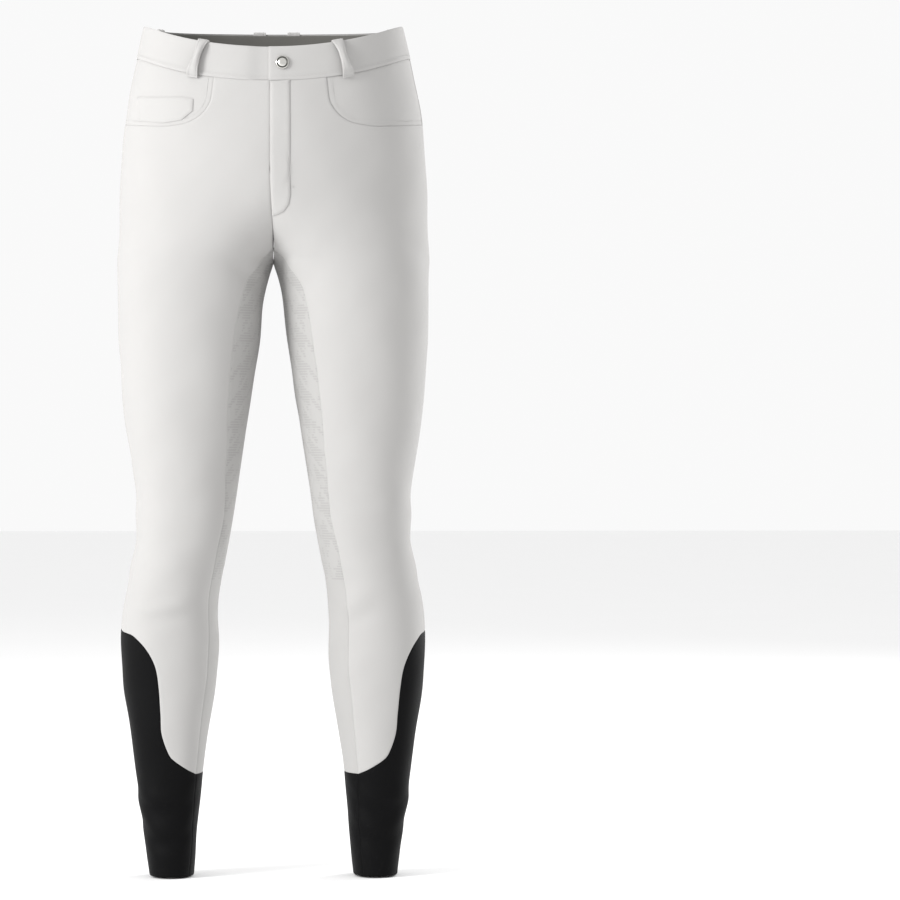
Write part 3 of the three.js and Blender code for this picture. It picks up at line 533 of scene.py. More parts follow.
def panel_loops(line):
    """Each panel's outline, as the seam lines round it."""
    return {
        "front": [
            line["waist_front"], line["scoop"], line["outseam"], reverse(line["shin_edge"]),
            reverse(line["inner_seam"]), reverse(line["fly"]),
        ],
        "pocket_facing": [
            line["waist_facing"], line["yoke_side_up"], line["yoke_side_low"], reverse(line["scoop"]),
        ],
        "yoke": [
            line["waist_yoke"], line["yoke_middle"], line["yoke_edge"], reverse(line["yoke_side_up"]),
        ],
        "side_back": [
            reverse(line["yoke_edge"]), line["side_middle"], line["seat_seam"], reverse(line["notch_edge"]),
            reverse(line["calf_edge"]), reverse(line["lobe_top"]), reverse(line["outseam"]),
            reverse(line["yoke_side_low"]),
        ],
        "seat": [
            line["seat_middle"], turned_on(reverse(line["under_fork"])), turned_on(line["inner_seam"]),
            reverse(line["ankle_edge"]), reverse(line["seat_seam"]),
        ],
        "sock_outer": [
            line["shin_edge"], line["lobe_top"], line["calf_edge"], line["heel_seam"],
            reverse(line["hem_front"]), reverse(line["ankle_seam"]),
        ],
        "sock_back": [
            line["notch_edge"], line["ankle_edge"], turned_on(line["ankle_seam"]),
            reverse(line["hem_back"]), reverse(line["heel_seam"]),
        ],
    }  # fmt: skip


# Flat pieces of cloth

EDGE_ROWS = (0.25, 0.45, 0.9, 1.5)
CHUNK = 2000
SHARP_ANGLE = math.radians(50)
BISECT_SHIFT = 0.037


def loop_outline(lines):
    """The points round a loop of lines that meet end to end, anticlockwise."""
    points = np.vstack([line[:-1] for line in lines])
    ahead = np.roll(points, -1, axis=0)
    area = float(np.sum(points[:, 0] * ahead[:, 1] - points[:, 1] * ahead[:, 0]) / 2)
    return points if area > 0 else points[::-1]


def distance_to(points, line):
    """How far each point is from a line in the flat."""
    starts, along = line[:-1], np.diff(line, axis=0)
    square = np.maximum((along**2).sum(1), 1e-12)
    found = np.empty(len(points))
    for first in range(0, len(points), CHUNK):
        away = points[first : first + CHUNK, None, :] - starts[None]
        t = np.clip((away * along).sum(2) / square, 0, 1)
        found[first : first + CHUNK] = np.sqrt(((away - t[..., None] * along) ** 2).sum(2).min(1))
    return found


def dent(line, gap, width, depth):
    """A soft channel at one distance from a line, or a ridge where the depth is negative."""
    reach = gap + 3 * width
    low, high = line.min(0) - reach, line.max(0) + reach

    def relief(points):
        height = np.zeros(len(points))
        near = ((points > low) & (points < high)).all(1)
        away = distance_to(points[near], line)
        height[near] = -depth * np.exp(-(((away - gap) / width) ** 2))
        return height

    return relief


def cut_flat(outline, wall, spacing, mirrored):
    """A flat piece of cloth with rows along its edge, sliced finely enough to bend, and its wall.

    The layer "edge" on its points says how far in from the edge each one is, as far as the last row.
    """
    bm = bmesh.new()
    edge = bm.verts.layers.float.new("edge")
    face = bm.faces.new([bm.verts.new((x, y, 0)) for x, y in outline])
    inwards = 0
    for row in EDGE_ROWS:
        bmesh.ops.inset_region(bm, faces=[face], thickness=row, use_even_offset=True, use_boundary=True)
        inwards += row
        for vert in face.verts:
            vert[edge] = inwards
    for axis in (Vector((0, 1, 0)), Vector((1, 0, 0))):
        reach = [vert.co.dot(axis) for vert in bm.verts]
        first, last = math.ceil(min(reach) / spacing), math.floor(max(reach) / spacing)
        for step in range(first, last + 1):
            everything = [*bm.verts, *bm.edges, *bm.faces]
            place = axis * (step * spacing + BISECT_SHIFT)
            bmesh.ops.bisect_plane(bm, geom=everything, dist=0.01, plane_co=place, plane_no=axis)
    many_sided = [face for face in bm.faces if len(face.verts) > 4]
    bmesh.ops.triangulate(bm, faces=many_sided)
    grown = bmesh.ops.extrude_face_region(bm, geom=bm.faces[:])
    inner = [item for item in grown["geom"] if isinstance(item, bmesh.types.BMVert)]
    bmesh.ops.translate(bm, vec=(0, 0, -wall), verts=inner)
    bmesh.ops.recalc_face_normals(bm, faces=bm.faces[:])
    if mirrored:
        bmesh.ops.reverse_faces(bm, faces=bm.faces[:])
    return bm


def finished(name, bm, place, cloth, node):
    """Makes a flat piece's mesh and wraps it by place, which turns its flat points into points in space."""
    mesh = bpy.data.meshes.new(name)
    bm.to_mesh(mesh)
    bm.free()
    points = np.zeros(len(mesh.vertices) * 3)
    mesh.vertices.foreach_get("co", points)
    points = points.reshape(-1, 3)
    edge = np.zeros(len(points))
    mesh.attributes["edge"].data.foreach_get("value", edge)
    corners = np.zeros(len(mesh.loops), np.int32)
    mesh.loops.foreach_get("vertex_index", corners)
    uv = mesh.uv_layers.new(name="cut")
    uv.uv.foreach_set("vector", (points[corners][:, :2] * MM).astype(np.float32).ravel())
    mesh.vertices.foreach_set("co", (place(points, edge) * MM).astype(np.float32).ravel())
    mesh.update()
    return shown(name, mesh, cloth, node)


def shown(name, mesh, finish, node=None, sharp=True):
    material, slot = finish
    mesh.polygons.foreach_set("use_smooth", np.ones(len(mesh.polygons), bool))
    if sharp:
        mesh.set_sharp_from_angle(angle=SHARP_ANGLE)
    mesh.materials.append(material)
    piece = bpy.data.objects.new(name, mesh)
    bpy.context.scene.collection.objects.link(piece)
    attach(piece, "root")
    if node:
        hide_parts(node)
    return piece


def rolled(distance, width, depth):
    """How far a sewn or turned edge sinks, as a quarter round."""
    short = 1 - np.clip(distance / width, 0, 1)
    return depth * (1 - np.sqrt(np.maximum(0, 1 - short**2)))


def cloth_piece(name, side, outline, cloth, options=None):
    """One piece of cloth on one side of the body, cut to its outline in the flat."""
    sizes = bpy.context.scene.breeches_sizes
    usual = {"out": 0, "wall": sizes.cloth_wall / MM, "roll": sizes.seam_depth / MM, "reliefs": []}
    given = {**usual, "rests_on": ["waistband"], **(options or {})}
    bm = cut_flat(outline, given["wall"], sizes.mesh_spacing / MM, side == WEARER_RIGHT)
    width = sizes.seam_width / MM

    def place(points, edge):
        flat_points = points[:, :2]
        turn, z = unflat(flat_points)
        out = given["out"] - rolled(edge, width, given["roll"]) + points[:, 2]
        for relief in given["reliefs"]:
            out = out + relief(flat_points)
        if "press" in given:
            out = out + given["press"](edge)
        return cloth_point(side, turn, z, out)

    piece = finished(f"{name}_cloth", bm, place, cloth, name)
    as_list(given["rests_on"])
    return piece


def trim_line(corners, behind, step):
    """A smooth line in the flat, given across from the middle."""
    return seam_line(placed(corners, behind), step)


def trim_outline(corners, behind, step):
    """A straight-sided outline given across from the middle, cut into short steps."""
    corners = np.array([*corners, corners[0]], float)
    lines = [evenly(np.array([start, end]), step)[:-1] for start, end in zip(corners, corners[1:])]
    across, heights = np.vstack(lines).T
    points = flat(turn_at(across, heights, behind), heights)
    return loop_outline([np.vstack([points, points[:1]])])


# Stitching

STITCH_SIDES, STITCH_RINGS = 6, 4
TACK_ROWS = (-0.7, 0, 0.7)


def offset(line, distance):
    """A line beside another in the flat, to the left of the way it runs."""
    ahead = np.gradient(line, axis=0)
    ahead /= np.linalg.norm(ahead, axis=1, keepdims=True)
    return line + distance * np.stack([-ahead[:, 1], ahead[:, 0]], -1)


def between(line, start, end):
    """The part of a line from one share of its length to another."""
    fine = evenly(line, 1)
    count = len(fine) - 1
    return fine[round(start * count) : round(end * count) + 1]


def on_leg(side, out):
    def place(points):
        turn, z = unflat(points)
        return cloth_point(side, turn, z, out), outwards(folded_point, side, turn, z)

    return place


def unit(rows):
    return rows / np.linalg.norm(rows, axis=-1, keepdims=True)


def sewn_row(line, place):
    """Where each stitch of a row lies: its three axes and its middle."""
    sizes = bpy.context.scene.breeches_sizes
    pitch, long, thick = (value / MM for value in (sizes.stitch_pitch, sizes.stitch_length, sizes.thread_width))
    ends = evenly(line, pitch)
    middles, ahead = (ends[:-1] + ends[1:]) / 2, np.diff(ends, axis=0)
    points, normals = place(middles)
    along = unit(place(middles + ahead * 0.2)[0] - place(middles - ahead * 0.2)[0])
    beside = unit(np.cross(normals, along))
    return np.stack([beside * thick, np.cross(along, beside) * thick, along * long, points], 1)


def tack(line, place):
    """A short dense bar of stitches."""
    return [sewn_row(offset(line, aside), place) for aside in TACK_ROWS]


def sew(name, rows):
    """One mesh of all the stitches in the rows."""
    rows = np.vstack(rows)
    template, mesh = bpy.data.meshes.new("stitch"), bpy.data.meshes.new(name)
    bm = bmesh.new()
    bmesh.ops.create_uvsphere(bm, u_segments=STITCH_SIDES, v_segments=STITCH_RINGS, radius=0.5)
    bm.to_mesh(template)
    ball = np.array([vert.co[:] for vert in bm.verts])
    bm.clear()
    for _ in rows:
        bm.from_mesh(template)
    bm.to_mesh(mesh)
    bm.free()
    points = np.einsum("vk,nkc->nvc", ball, rows[:, :3]) + rows[:, 3][:, None]
    mesh.vertices.foreach_set("co", (points * MM).astype(np.float32).ravel())
    mesh.update()
    bpy.data.meshes.remove(template)
    return shown(name, mesh, look("thread"), sharp=False)


# Materials

CHECK_REPEAT, CHECK_LEAN, CHECK_END_Z = 0.037, math.radians(25), -0.637


def feed(tree, socket, value):
    if isinstance(value, Wire):
        tree.links.new(socket, value.socket)
    else:
        socket.default_value = value


def socket_named(sockets, name):
    return next((socket for socket in sockets if socket.identifier == name), None) or sockets[name]


class Wire:
    """A value in a material. Arithmetic on it adds Math nodes."""

    def __init__(self, tree, socket):
        self.tree = tree
        self.socket = socket

    def maths(self, operation, *values):
        node = self.tree.nodes.new("ShaderNodeMath")
        node.operation = operation
        for socket, value in zip(node.inputs, values):
            feed(self.tree, socket, value)
        return Wire(self.tree, node.outputs[0])

    def __add__(self, other):
        return self.maths("ADD", self, other)

    __radd__ = __add__

    def __sub__(self, other):
        return self.maths("SUBTRACT", self, other)

    def __rsub__(self, other):
        return self.maths("SUBTRACT", other, self)

    def __mul__(self, other):
        return self.maths("MULTIPLY", self, other)

    __rmul__ = __mul__

    def __truediv__(self, other):
        return self.maths("DIVIDE", self, other)

    def __mod__(self, other):
        return self.maths("FLOORED_MODULO", self, other)

    def __lt__(self, other):
        return self.maths("LESS_THAN", self, other)

    def __gt__(self, other):
        return self.maths("GREATER_THAN", self, other)

    def floor(self):
        return self.maths("FLOOR", self)

    def sine(self):
        return self.maths("SINE", self)


class Finish:
    """One material, whose nodes are added by name."""

    def __init__(self, name):
        self.material = bpy.data.materials.new(name)
        self.material.use_nodes = True
        self.tree = self.material.node_tree
        self.surface = self.tree.nodes["Principled BSDF"]

    def add(self, kind, settings=None, sockets=None):
        """Adds a node and returns what reads its outputs by name."""
        node = self.tree.nodes.new(f"ShaderNode{kind}")
        for name, value in (settings or {}).items():
            if name == "stops":
                for place, colour in value[2:]:
                    node.color_ramp.elements.new(place)
                for element, (place, colour) in zip(node.color_ramp.elements, value):
                    element.position, element.color = place, colour
            else:
                setattr(node, name, value)
        for name, value in (sockets or {}).items():
            feed(self.tree, socket_named(node.inputs, name), value)
        return lambda output: Wire(self.tree, socket_named(node.outputs, output))

    def set(self, sockets):
        for name, value in sockets.items():
            feed(self.tree, self.surface.inputs[name], value)

    def cut_coordinates(self):
        """The piece's own flat coordinates, in metres."""
        cut = self.add("UVMap", {"uv_map": "cut"})("UV")
        split = self.add("SeparateXYZ", None, {"Vector": cut})
        return split("X"), split("Y")

    def noise(self, scale, detail=2.0, roughness=0.5):
        place = self.add("TexCoord")("Object")
        sockets = {"Vector": place, "Scale": scale, "Detail": detail, "Roughness": roughness}
        return self.add("TexNoise", {"noise_dimensions": "3D"}, sockets)("Fac")

    def mix(self, factor, first, second):
        sockets = {"Factor_Float": factor, "A_Color": first, "B_Color": second}
        return self.add("Mix", {"data_type": "RGBA"}, sockets)("Result_Color")

    def bump(self, height, distance, strength=1.0):
        sockets = {"Height": height, "Distance": distance, "Strength": strength}
        return self.add("Bump", None, sockets)("Normal")


def shade(colour, share):
    """The same colour, lighter or darker by a share."""
    return (*[channel * share for channel in colour[:3]], 1.0)


def woven(finish, pitch):
    """A fine twill: diagonal ribs crossed by the thread's own beading."""
    u, v = finish.cut_coordinates()
    turn = 2 * math.pi / pitch
    rib = ((u + v * 0.6) * turn).sine()
    bead = ((v - u * 0.5) * (turn * 1.7)).sine()
    return rib * 0.5 + bead * 0.3


def cloth_finish(name, colour, pitch, contrast, roughness, sheen):
    finish = Finish(name)
    patch = finish.noise(14.0, 3.0)
    fleck = finish.noise(1400.0, 1.0)
    tone = patch * 0.6 + fleck * 0.4
    base = finish.mix(tone, shade(colour, 1 - contrast), shade(colour, 1 + contrast))
    weave = woven(finish, pitch)
    height = weave * 0.6 + fleck * 0.5
    finish.set({
        "Base Color": base,
        "Roughness": 0.06 * fleck + (roughness - 0.03),
        "Sheen Weight": sheen,
        "Sheen Roughness": 0.5,
        "Specular IOR Level": 0.2,
        "Normal": finish.bump(height, 0.00012, 0.6),
    })
    return finish.material


def check_finish(name, colour, course):
    """The seat's grip cloth: a tilted broken check in short level dashes, a little darker than the ground."""
    finish = Finish(name)
    u, v = finish.cut_coordinates()
    across, up = (u / (course * 0.8)).floor() * (course * 0.8), (v / course).floor() * course
    lean, leaned = math.cos(CHECK_LEAN), math.sin(CHECK_LEAN)
    thread = CHECK_REPEAT / 8
    column = ((across * lean - up * leaned) / thread).floor()
    row = ((across * leaned + up * lean) / thread).floor()
    over = (column + row) % 4 < 2
    tooth = over * (column % 8 < 4) + (1 - over) * (row % 8 < 4)
    dash = (v / course) % 1 < 0.6
    worn = finish.noise(55.0, 2.0) > 0.4
    mark = tooth * dash * (0.35 + 0.65 * worn) * (v > CHECK_END_Z)
    patch = finish.noise(14.0, 3.0)
    ground = finish.mix(patch, shade(colour, 0.97), shade(colour, 1.03))
    fleck = finish.noise(1400.0, 1.0)
    finish.set({
        "Base Color": finish.mix(mark, ground, shade(colour, 0.89)),
        "Roughness": 0.86 - 0.12 * mark,
        "Sheen Weight": 0.05,
        "Specular IOR Level": 0.2,
        "Normal": finish.bump(mark * 0.7 + fleck * 0.4, 0.00015, 0.6),
    })
    return finish.material


def dark_finish(name, colour):
    """Smooth stretch knit: fine upright ribs with a slight lustre."""
    finish = Finish(name)
    u, v = finish.cut_coordinates()
    turn = 2 * math.pi / 0.0011
    rib = (u * turn).sine()
    loop = (v * (turn * 1.3)).sine()
    patch = finish.noise(18.0, 3.0)
    fleck = finish.noise(1100.0, 1.0)
    tone = patch * 0.7 + fleck * 0.3
    finish.set({
        "Base Color": finish.mix(tone, shade(colour, 0.75), shade(colour, 1.3)),
        "Roughness": 0.52 + 0.14 * patch,
        "Sheen Weight": 0.005,
        "Sheen Roughness": 0.4,
        "Specular IOR Level": 0.06,
        "Normal": finish.bump(rib * 0.5 + loop * 0.25 + fleck * 0.3, 0.00012, 0.5),
    })
    return finish.material


def thread_finish(name, colour):
    """Spun thread, with a slight lustre."""
    finish = Finish(name)
    fleck = finish.noise(2500.0, 1.0)
    finish.set({
        "Base Color": finish.mix(fleck, shade(colour, 0.92), shade(colour, 1.06)),
        "Roughness": 0.55 + 0.1 * fleck,
        "Sheen Weight": 0.1,
        "Specular IOR Level": 0.3,
        "Normal": finish.bump(fleck, 0.00008, 0.5),
    })
    return finish.material


def metal_finish(name, bright, dark):
    """Antique metal: a bright dome and rim, with a dark patina in the groove between them."""
    finish = Finish(name)
    share, _ = finish.cut_coordinates()
    groove = (share > 0.62) * (share < 0.86)
    scuff = finish.noise(700.0, 3.0, 0.6)
    stain = groove * 0.8 + scuff * 0.2
    finish.set({
        "Base Color": finish.mix(stain, bright, dark),
        "Metallic": 0.95,
        "Roughness": 0.24 + 0.3 * stain,
        "Normal": finish.bump(scuff, 0.00005, 0.4),
    })
    return finish.material


def floor_finish(name, colour):
    finish = Finish(name)
    tone = finish.noise(3.0, 2.0)
    finish.set({
        "Base Color": finish.mix(tone, shade(colour, 0.99), colour),
        "Roughness": 0.9,
        "Specular IOR Level": 0.1,
    })
    return finish.material


# Settings


class BreechesSizes(bpy.types.PropertyGroup):
    cloth_wall: bpy.props.FloatProperty(
        name="Cloth", description="Thickness of the main cloth", default=1.4 * MM, unit="LENGTH"
    )
    band_wall: bpy.props.FloatProperty(
        name="Band", description="Thickness of the waistband", default=2.0 * MM, unit="LENGTH"
    )
    lining_wall: bpy.props.FloatProperty(
        name="Lining", description="Thickness of the waistband's lining", default=0.9 * MM, unit="LENGTH"
    )
    pocket_wall: bpy.props.FloatProperty(
        name="Pockets", description="Thickness of the pockets and the placket", default=1.1 * MM, unit="LENGTH"
    )
    flap_wall: bpy.props.FloatProperty(
        name="Flaps", description="Thickness of the pocket flaps", default=1.3 * MM, unit="LENGTH"
    )
    loop_wall: bpy.props.FloatProperty(
        name="Loops", description="Thickness of the belt loops", default=1.4 * MM, unit="LENGTH"
    )
    mesh_spacing: bpy.props.FloatProperty(
        name="Mesh spacing", description="How finely the cloth is sliced", default=4.6 * MM, unit="LENGTH"
    )
    seam_step: bpy.props.FloatProperty(
        name="Seam step", description="Distance between points along a seam", default=4.0 * MM, unit="LENGTH"
    )
    seam_width: bpy.props.FloatProperty(
        name="Seam roll", description="How far in from a seam the cloth rolls", default=3.1 * MM, unit="LENGTH"
    )
    seam_depth: bpy.props.FloatProperty(
        name="Seam depth", description="How deep a seam sinks", default=0.9 * MM, unit="LENGTH"
    )
    stitch_pitch: bpy.props.FloatProperty(
        name="Stitch pitch", description="From one stitch to the next", default=3.3 * MM, unit="LENGTH"
    )
    stitch_length: bpy.props.FloatProperty(
        name="Stitch length", description="Length of the thread that shows", default=2.7 * MM, unit="LENGTH"
    )
    thread_width: bpy.props.FloatProperty(
        name="Thread", description="Thickness of the sewing thread", default=0.55 * MM, unit="LENGTH"
    )


def colour_property(name, description, default):
    return bpy.props.FloatVectorProperty(
        name=name, description=description, default=default, subtype="COLOR", size=4, min=0, max=1
    )


class BreechesColours(bpy.types.PropertyGroup):
    pale: colour_property("Pale cloth", "Main cloth", (0.425, 0.418, 0.41, 1))
    check: colour_property("Seat", "Grip cloth of the seat", (0.385, 0.379, 0.371, 1))
    dark: colour_property("Lower leg", "Stretch knit of the lower leg", (0.0035, 0.0035, 0.0038, 1))
    lining: colour_property("Lining", "Inside of the waistband", (0.135, 0.132, 0.122, 1))
    thread: colour_property("Thread", "Topstitching", (0.45, 0.443, 0.434, 1))
    bright: colour_property("Metal", "Button and snaps", (0.66, 0.65, 0.62, 1))
    patina: colour_property("Patina", "Dark ring of the button and snaps", (0.045, 0.045, 0.04, 1))
    floor: colour_property("Floor", "Floor under the breeches", (0.93, 0.93, 0.93, 1))


class BreechesStage(bpy.types.PropertyGroup):
    distance: bpy.props.FloatProperty(
        name="Camera distance", description="From the camera to the breeches", default=4.7, unit="LENGTH"
    )
    height: bpy.props.FloatProperty(
        name="Camera height", description="Height of the camera", default=-0.482, unit="LENGTH"
    )
    view_width: bpy.props.FloatProperty(
        name="View width", description="Width of the view at the breeches", default=1.08, unit="LENGTH"
    )
    aside: bpy.props.FloatProperty(
        name="Aside", description="How far right of the breeches the camera looks", default=0.2118, unit="LENGTH"
    )
    key_power: bpy.props.FloatProperty(name="Key", description="Power of the main light in watts", default=170)
    fill_power: bpy.props.FloatProperty(name="Fill", description="Power of the rear light in watts", default=110)
    sky: bpy.props.FloatProperty(name="Sky", description="Strength of the light all round", default=0.95)


# Materials are made once, on first use.

SLOTS = {
    "pale": "pale_cloth",
    "check": "check_cloth",
    "dark": "dark_cloth",
    "lining": "lining_cloth",
    "thread": "pale_cloth",
    "metal": "metal",
}
LOOKS = {}


def look(name):
    """A material and the record's slot that it belongs to."""
    colours = bpy.context.scene.breeches_colours
    makers = {
        "pale": lambda: cloth_finish("pale stretch twill", colours.pale, 0.0009, 0.035, 0.86, 0.1),
        "check": lambda: check_finish("checked grip cloth", colours.check, 0.003),
        "dark": lambda: dark_finish("dark stretch knit", colours.dark),
        "lining": lambda: cloth_finish("waistband lining", colours.lining, 0.0008, 0.06, 0.9, 0.05),
        "thread": lambda: thread_finish("sewing thread", colours.thread),
        "metal": lambda: metal_finish("antique metal", colours.bright, colours.patina),
    }
    if name not in LOOKS:
        LOOKS[name] = makers[name]()
    return LOOKS[name], SLOTS[name]


# Operators


def pattern(side):
    step = bpy.context.scene.breeches_sizes.seam_step / MM
    return seam_lines(side, step)


def channels(line, panel):
    """The channels that a panel's rows of topstitching leave in it."""
    return [dent(line[name], abs(gap), 1.1, GROOVE_DEPTH) for name, on, gap in TOPSTITCHES if on == panel]


class BREECHES_OT_leg_panels(bpy.types.Operator):
    """Cut and wrap the pale panels: fronts, pocket facings, yokes and side backs"""

    bl_idname = "breeches.leg_panels"
    bl_label = "Pale panels"

    def execute(self, context):
        for side, suffix in SIDES:
            line = pattern(side)
            loops = panel_loops(line)
            for name in ("front", "pocket_facing", "yoke", "side_back"):
                options = {"reliefs": channels(line, name)}
                if name == "pocket_facing":
                    options["out"] = -FACING_IN
                if name == "side_back":
                    options["reliefs"].append(dent(line["seat_seam"], *ARCH_RIDGE))
                cloth_piece(f"{name}_{suffix}", side, loop_outline(loops[name]), look("pale"), options)
        return {"FINISHED"}


class BREECHES_OT_seat(bpy.types.Operator):
    """Cut and wrap the checked full seat"""

    bl_idname = "breeches.seat"
    bl_label = "Full seat"

    def execute(self, context):
        for side, suffix in SIDES:
            line = pattern(side)
            sunk = [*channels(line, "seat"), dent(line["seat_seam"], *ARCH_STEP)]
            outline = loop_outline(panel_loops(line)["seat"])
            cloth_piece(f"seat_{suffix}", side, outline, look("check"), {"reliefs": sunk})
        return {"FINISHED"}


class BREECHES_OT_lower_legs(bpy.types.Operator):
    """Cut and wrap the dark lower legs"""

    bl_idname = "breeches.lower_legs"
    bl_label = "Dark lower legs"

    def execute(self, context):
        for side, suffix in SIDES:
            loops = panel_loops(pattern(side))
            for name in ("sock_outer", "sock_back"):
                above = {"rests_on": [f"front_{suffix}", f"seat_{suffix}"]}
                cloth_piece(f"{name}_{suffix}", side, loop_outline(loops[name]), look("dark"), above)
        return {"FINISHED"}


class BREECHES_OT_pockets(bpy.types.Operator):
    """Cut and wrap the back pockets, their flaps, the coin pocket and the fly placket"""

    bl_idname = "breeches.pockets"
    bl_label = "Pockets and placket"

    def execute(self, context):
        sizes = context.scene.breeches_sizes
        pocket, flap, step = sizes.pocket_wall / MM, sizes.flap_wall / MM, sizes.seam_step / MM / 1.4

        def pressed(edge):
            """A patch lies on its panel along its edge, and stands a little off within."""
            return TRIM_GAP * smoothstep(edge, 0, PRESSED_WIDTH)

        def add(name, side, corners, behind, under, options):
            given = {"out": pocket + LAID_GAP, "wall": pocket, "roll": 0.6, "press": pressed, "rests_on": [under]}
            outline = trim_outline(corners, behind, step)
            cloth_piece(name, side, outline, look("pale"), {**given, **options})

        coin = {"out": pocket + LAID_GAP - FACING_IN}
        add("coin_pocket", WEARER_RIGHT, COIN_POCKET, False, "pocket_facing_right_cloth", coin)
        fly = trim_line(FLY_ROW, False, step)
        ridge = [dent(fly, 0, 1.2, GROOVE_DEPTH)]
        add("fly_placket", WEARER_LEFT, PLACKET, False, "front_left_cloth", {"reliefs": ridge})
        for side, suffix in SIDES:
            under = f"side_back_{suffix}_cloth"
            add(f"back_pocket_{suffix}", side, BACK_POCKET, True, under, {})
            top = trim_line(FLAP[:FLAP_TOP_POINTS], True, step)

            def clears_pocket(points, top=top):
                """The flap leaves its seam flat, climbs over the pocket and lifts a little at its free edge."""
                down = distance_to(points, top)
                over = (pocket + TRIM_GAP) * smoothstep(down, 0.5, 5)
                return over + FLAP_LIFT * smoothstep(down, 12, 30)

            lifted = {"out": flap + LAID_GAP, "wall": flap, "reliefs": [clears_pocket]}
            add(f"pocket_flap_{suffix}", side, FLAP, True, f"yoke_{suffix}_cloth", lifted)
        return {"FINISHED"}


def band_place(angle, share, out, top_drop=0.0, low_rise=0.0):
    """A place on the band, by angle from the middle of the front and share down from its top edge."""
    wrapped = np.mod(angle + OUTSIDE, FULL_TURN) - OUTSIDE
    turn = FRONT + np.abs(wrapped)
    top, low = waist_top_z(turn) - top_drop, waist_seam_z(turn) + low_rise
    z = top + (low - top) * share
    left = cloth_point(WEARER_LEFT, turn, z, out)
    right = cloth_point(WEARER_RIGHT, turn, z, out)
    return np.where((wrapped < 0)[:, None], right, left)


def band_sunk(angle):
    """The right end dips under the left end by the band's own wall and a gap."""
    under = bpy.context.scene.breeches_sizes.band_wall / MM + LAYER_GAP
    return under * smoothstep(angle, BAND_LEVEL_FROM, BAND_UNDER_FROM)


def band_angle(along, length):
    return BAND_UNDER_END + (BAND_OVER_END - FULL_TURN - BAND_UNDER_END) * along / length


def band_length():
    degrees = FULL_TURN + BAND_UNDER_END - BAND_OVER_END
    return float(girth_at(0.0)) * degrees / FULL_TURN


def band_relief(points, length):
    """The channel of the band's row of stitches, and the panel set in behind, between the centre loops."""
    across, up = points[:, 0], points[:, 1]
    row = GROOVE_DEPTH * np.exp(-(((up - BAND_ROW) / 1.1) ** 2))
    middle = length * (BAND_UNDER_END + OUTSIDE) / (BAND_UNDER_END - BAND_OVER_END + FULL_TURN)
    inside = 1 - smoothstep(np.abs(across - middle), INSET_HALF - 1.5, INSET_HALF + 1.5)
    tall = smoothstep(up, BAND_ROW, BAND_ROW + 2) * (1 - smoothstep(up, BAND_HEIGHT - 5, BAND_HEIGHT - 3))
    return -row - INSET_DEPTH * inside * tall


def strip_outline(length, height, step):
    corners = np.array([(0, 0), (length, 0), (length, height), (0, height), (0, 0)], float)
    lines = [evenly(np.array([start, end]), step)[:-1] for start, end in zip(corners, corners[1:])]
    return np.vstack(lines)


class BREECHES_OT_waistband(bpy.types.Operator):
    """Cut and wrap the waistband, its left end over its right, and its lining"""

    bl_idname = "breeches.waistband"
    bl_label = "Waistband"

    def execute(self, context):
        sizes = context.scene.breeches_sizes
        step, spacing = sizes.seam_step / MM, sizes.mesh_spacing / MM
        wall, length = sizes.band_wall / MM, band_length()

        def band(points, edge):
            angle = band_angle(points[:, 0], length)
            out = BAND_OUT - band_sunk(angle) - rolled(edge, 3.1, 0.9) + points[:, 2]
            out = out + band_relief(points, length)
            return band_place(angle, 1 - points[:, 1] / BAND_HEIGHT, out)

        bm = cut_flat(strip_outline(length, BAND_HEIGHT, step), wall, spacing, True)
        piece = finished("waistband_cloth", bm, band, look("pale"), "waistband")
        length * MM

        inner_wall = sizes.lining_wall / MM
        inner_out = BAND_OUT - wall - LAYER_GAP
        lining_length = length * (FULL_TURN + LINING_END - LINING_START) / FULL_TURN

        def lining(points, edge):
            span = LINING_START - FULL_TURN - LINING_END
            angle = LINING_END + span * points[:, 0] / lining_length
            share = 1 - points[:, 1] / LINING_HEIGHT
            out = inner_out + points[:, 2] - INSET_DEPTH - GROOVE_DEPTH + rolled(edge, 3.1, 0.3)
            return band_place(angle, share, out, LINING_TOP_DROP, LINING_LOW_RISE)

        bm = cut_flat(strip_outline(lining_length, LINING_HEIGHT, step), inner_wall, spacing, True)
        piece = finished("waistband_lining_cloth", bm, lining, look("lining"), "waistband_lining")
        flat_size = (lining_length * MM, LINING_HEIGHT * MM)
        return {"FINISHED"}


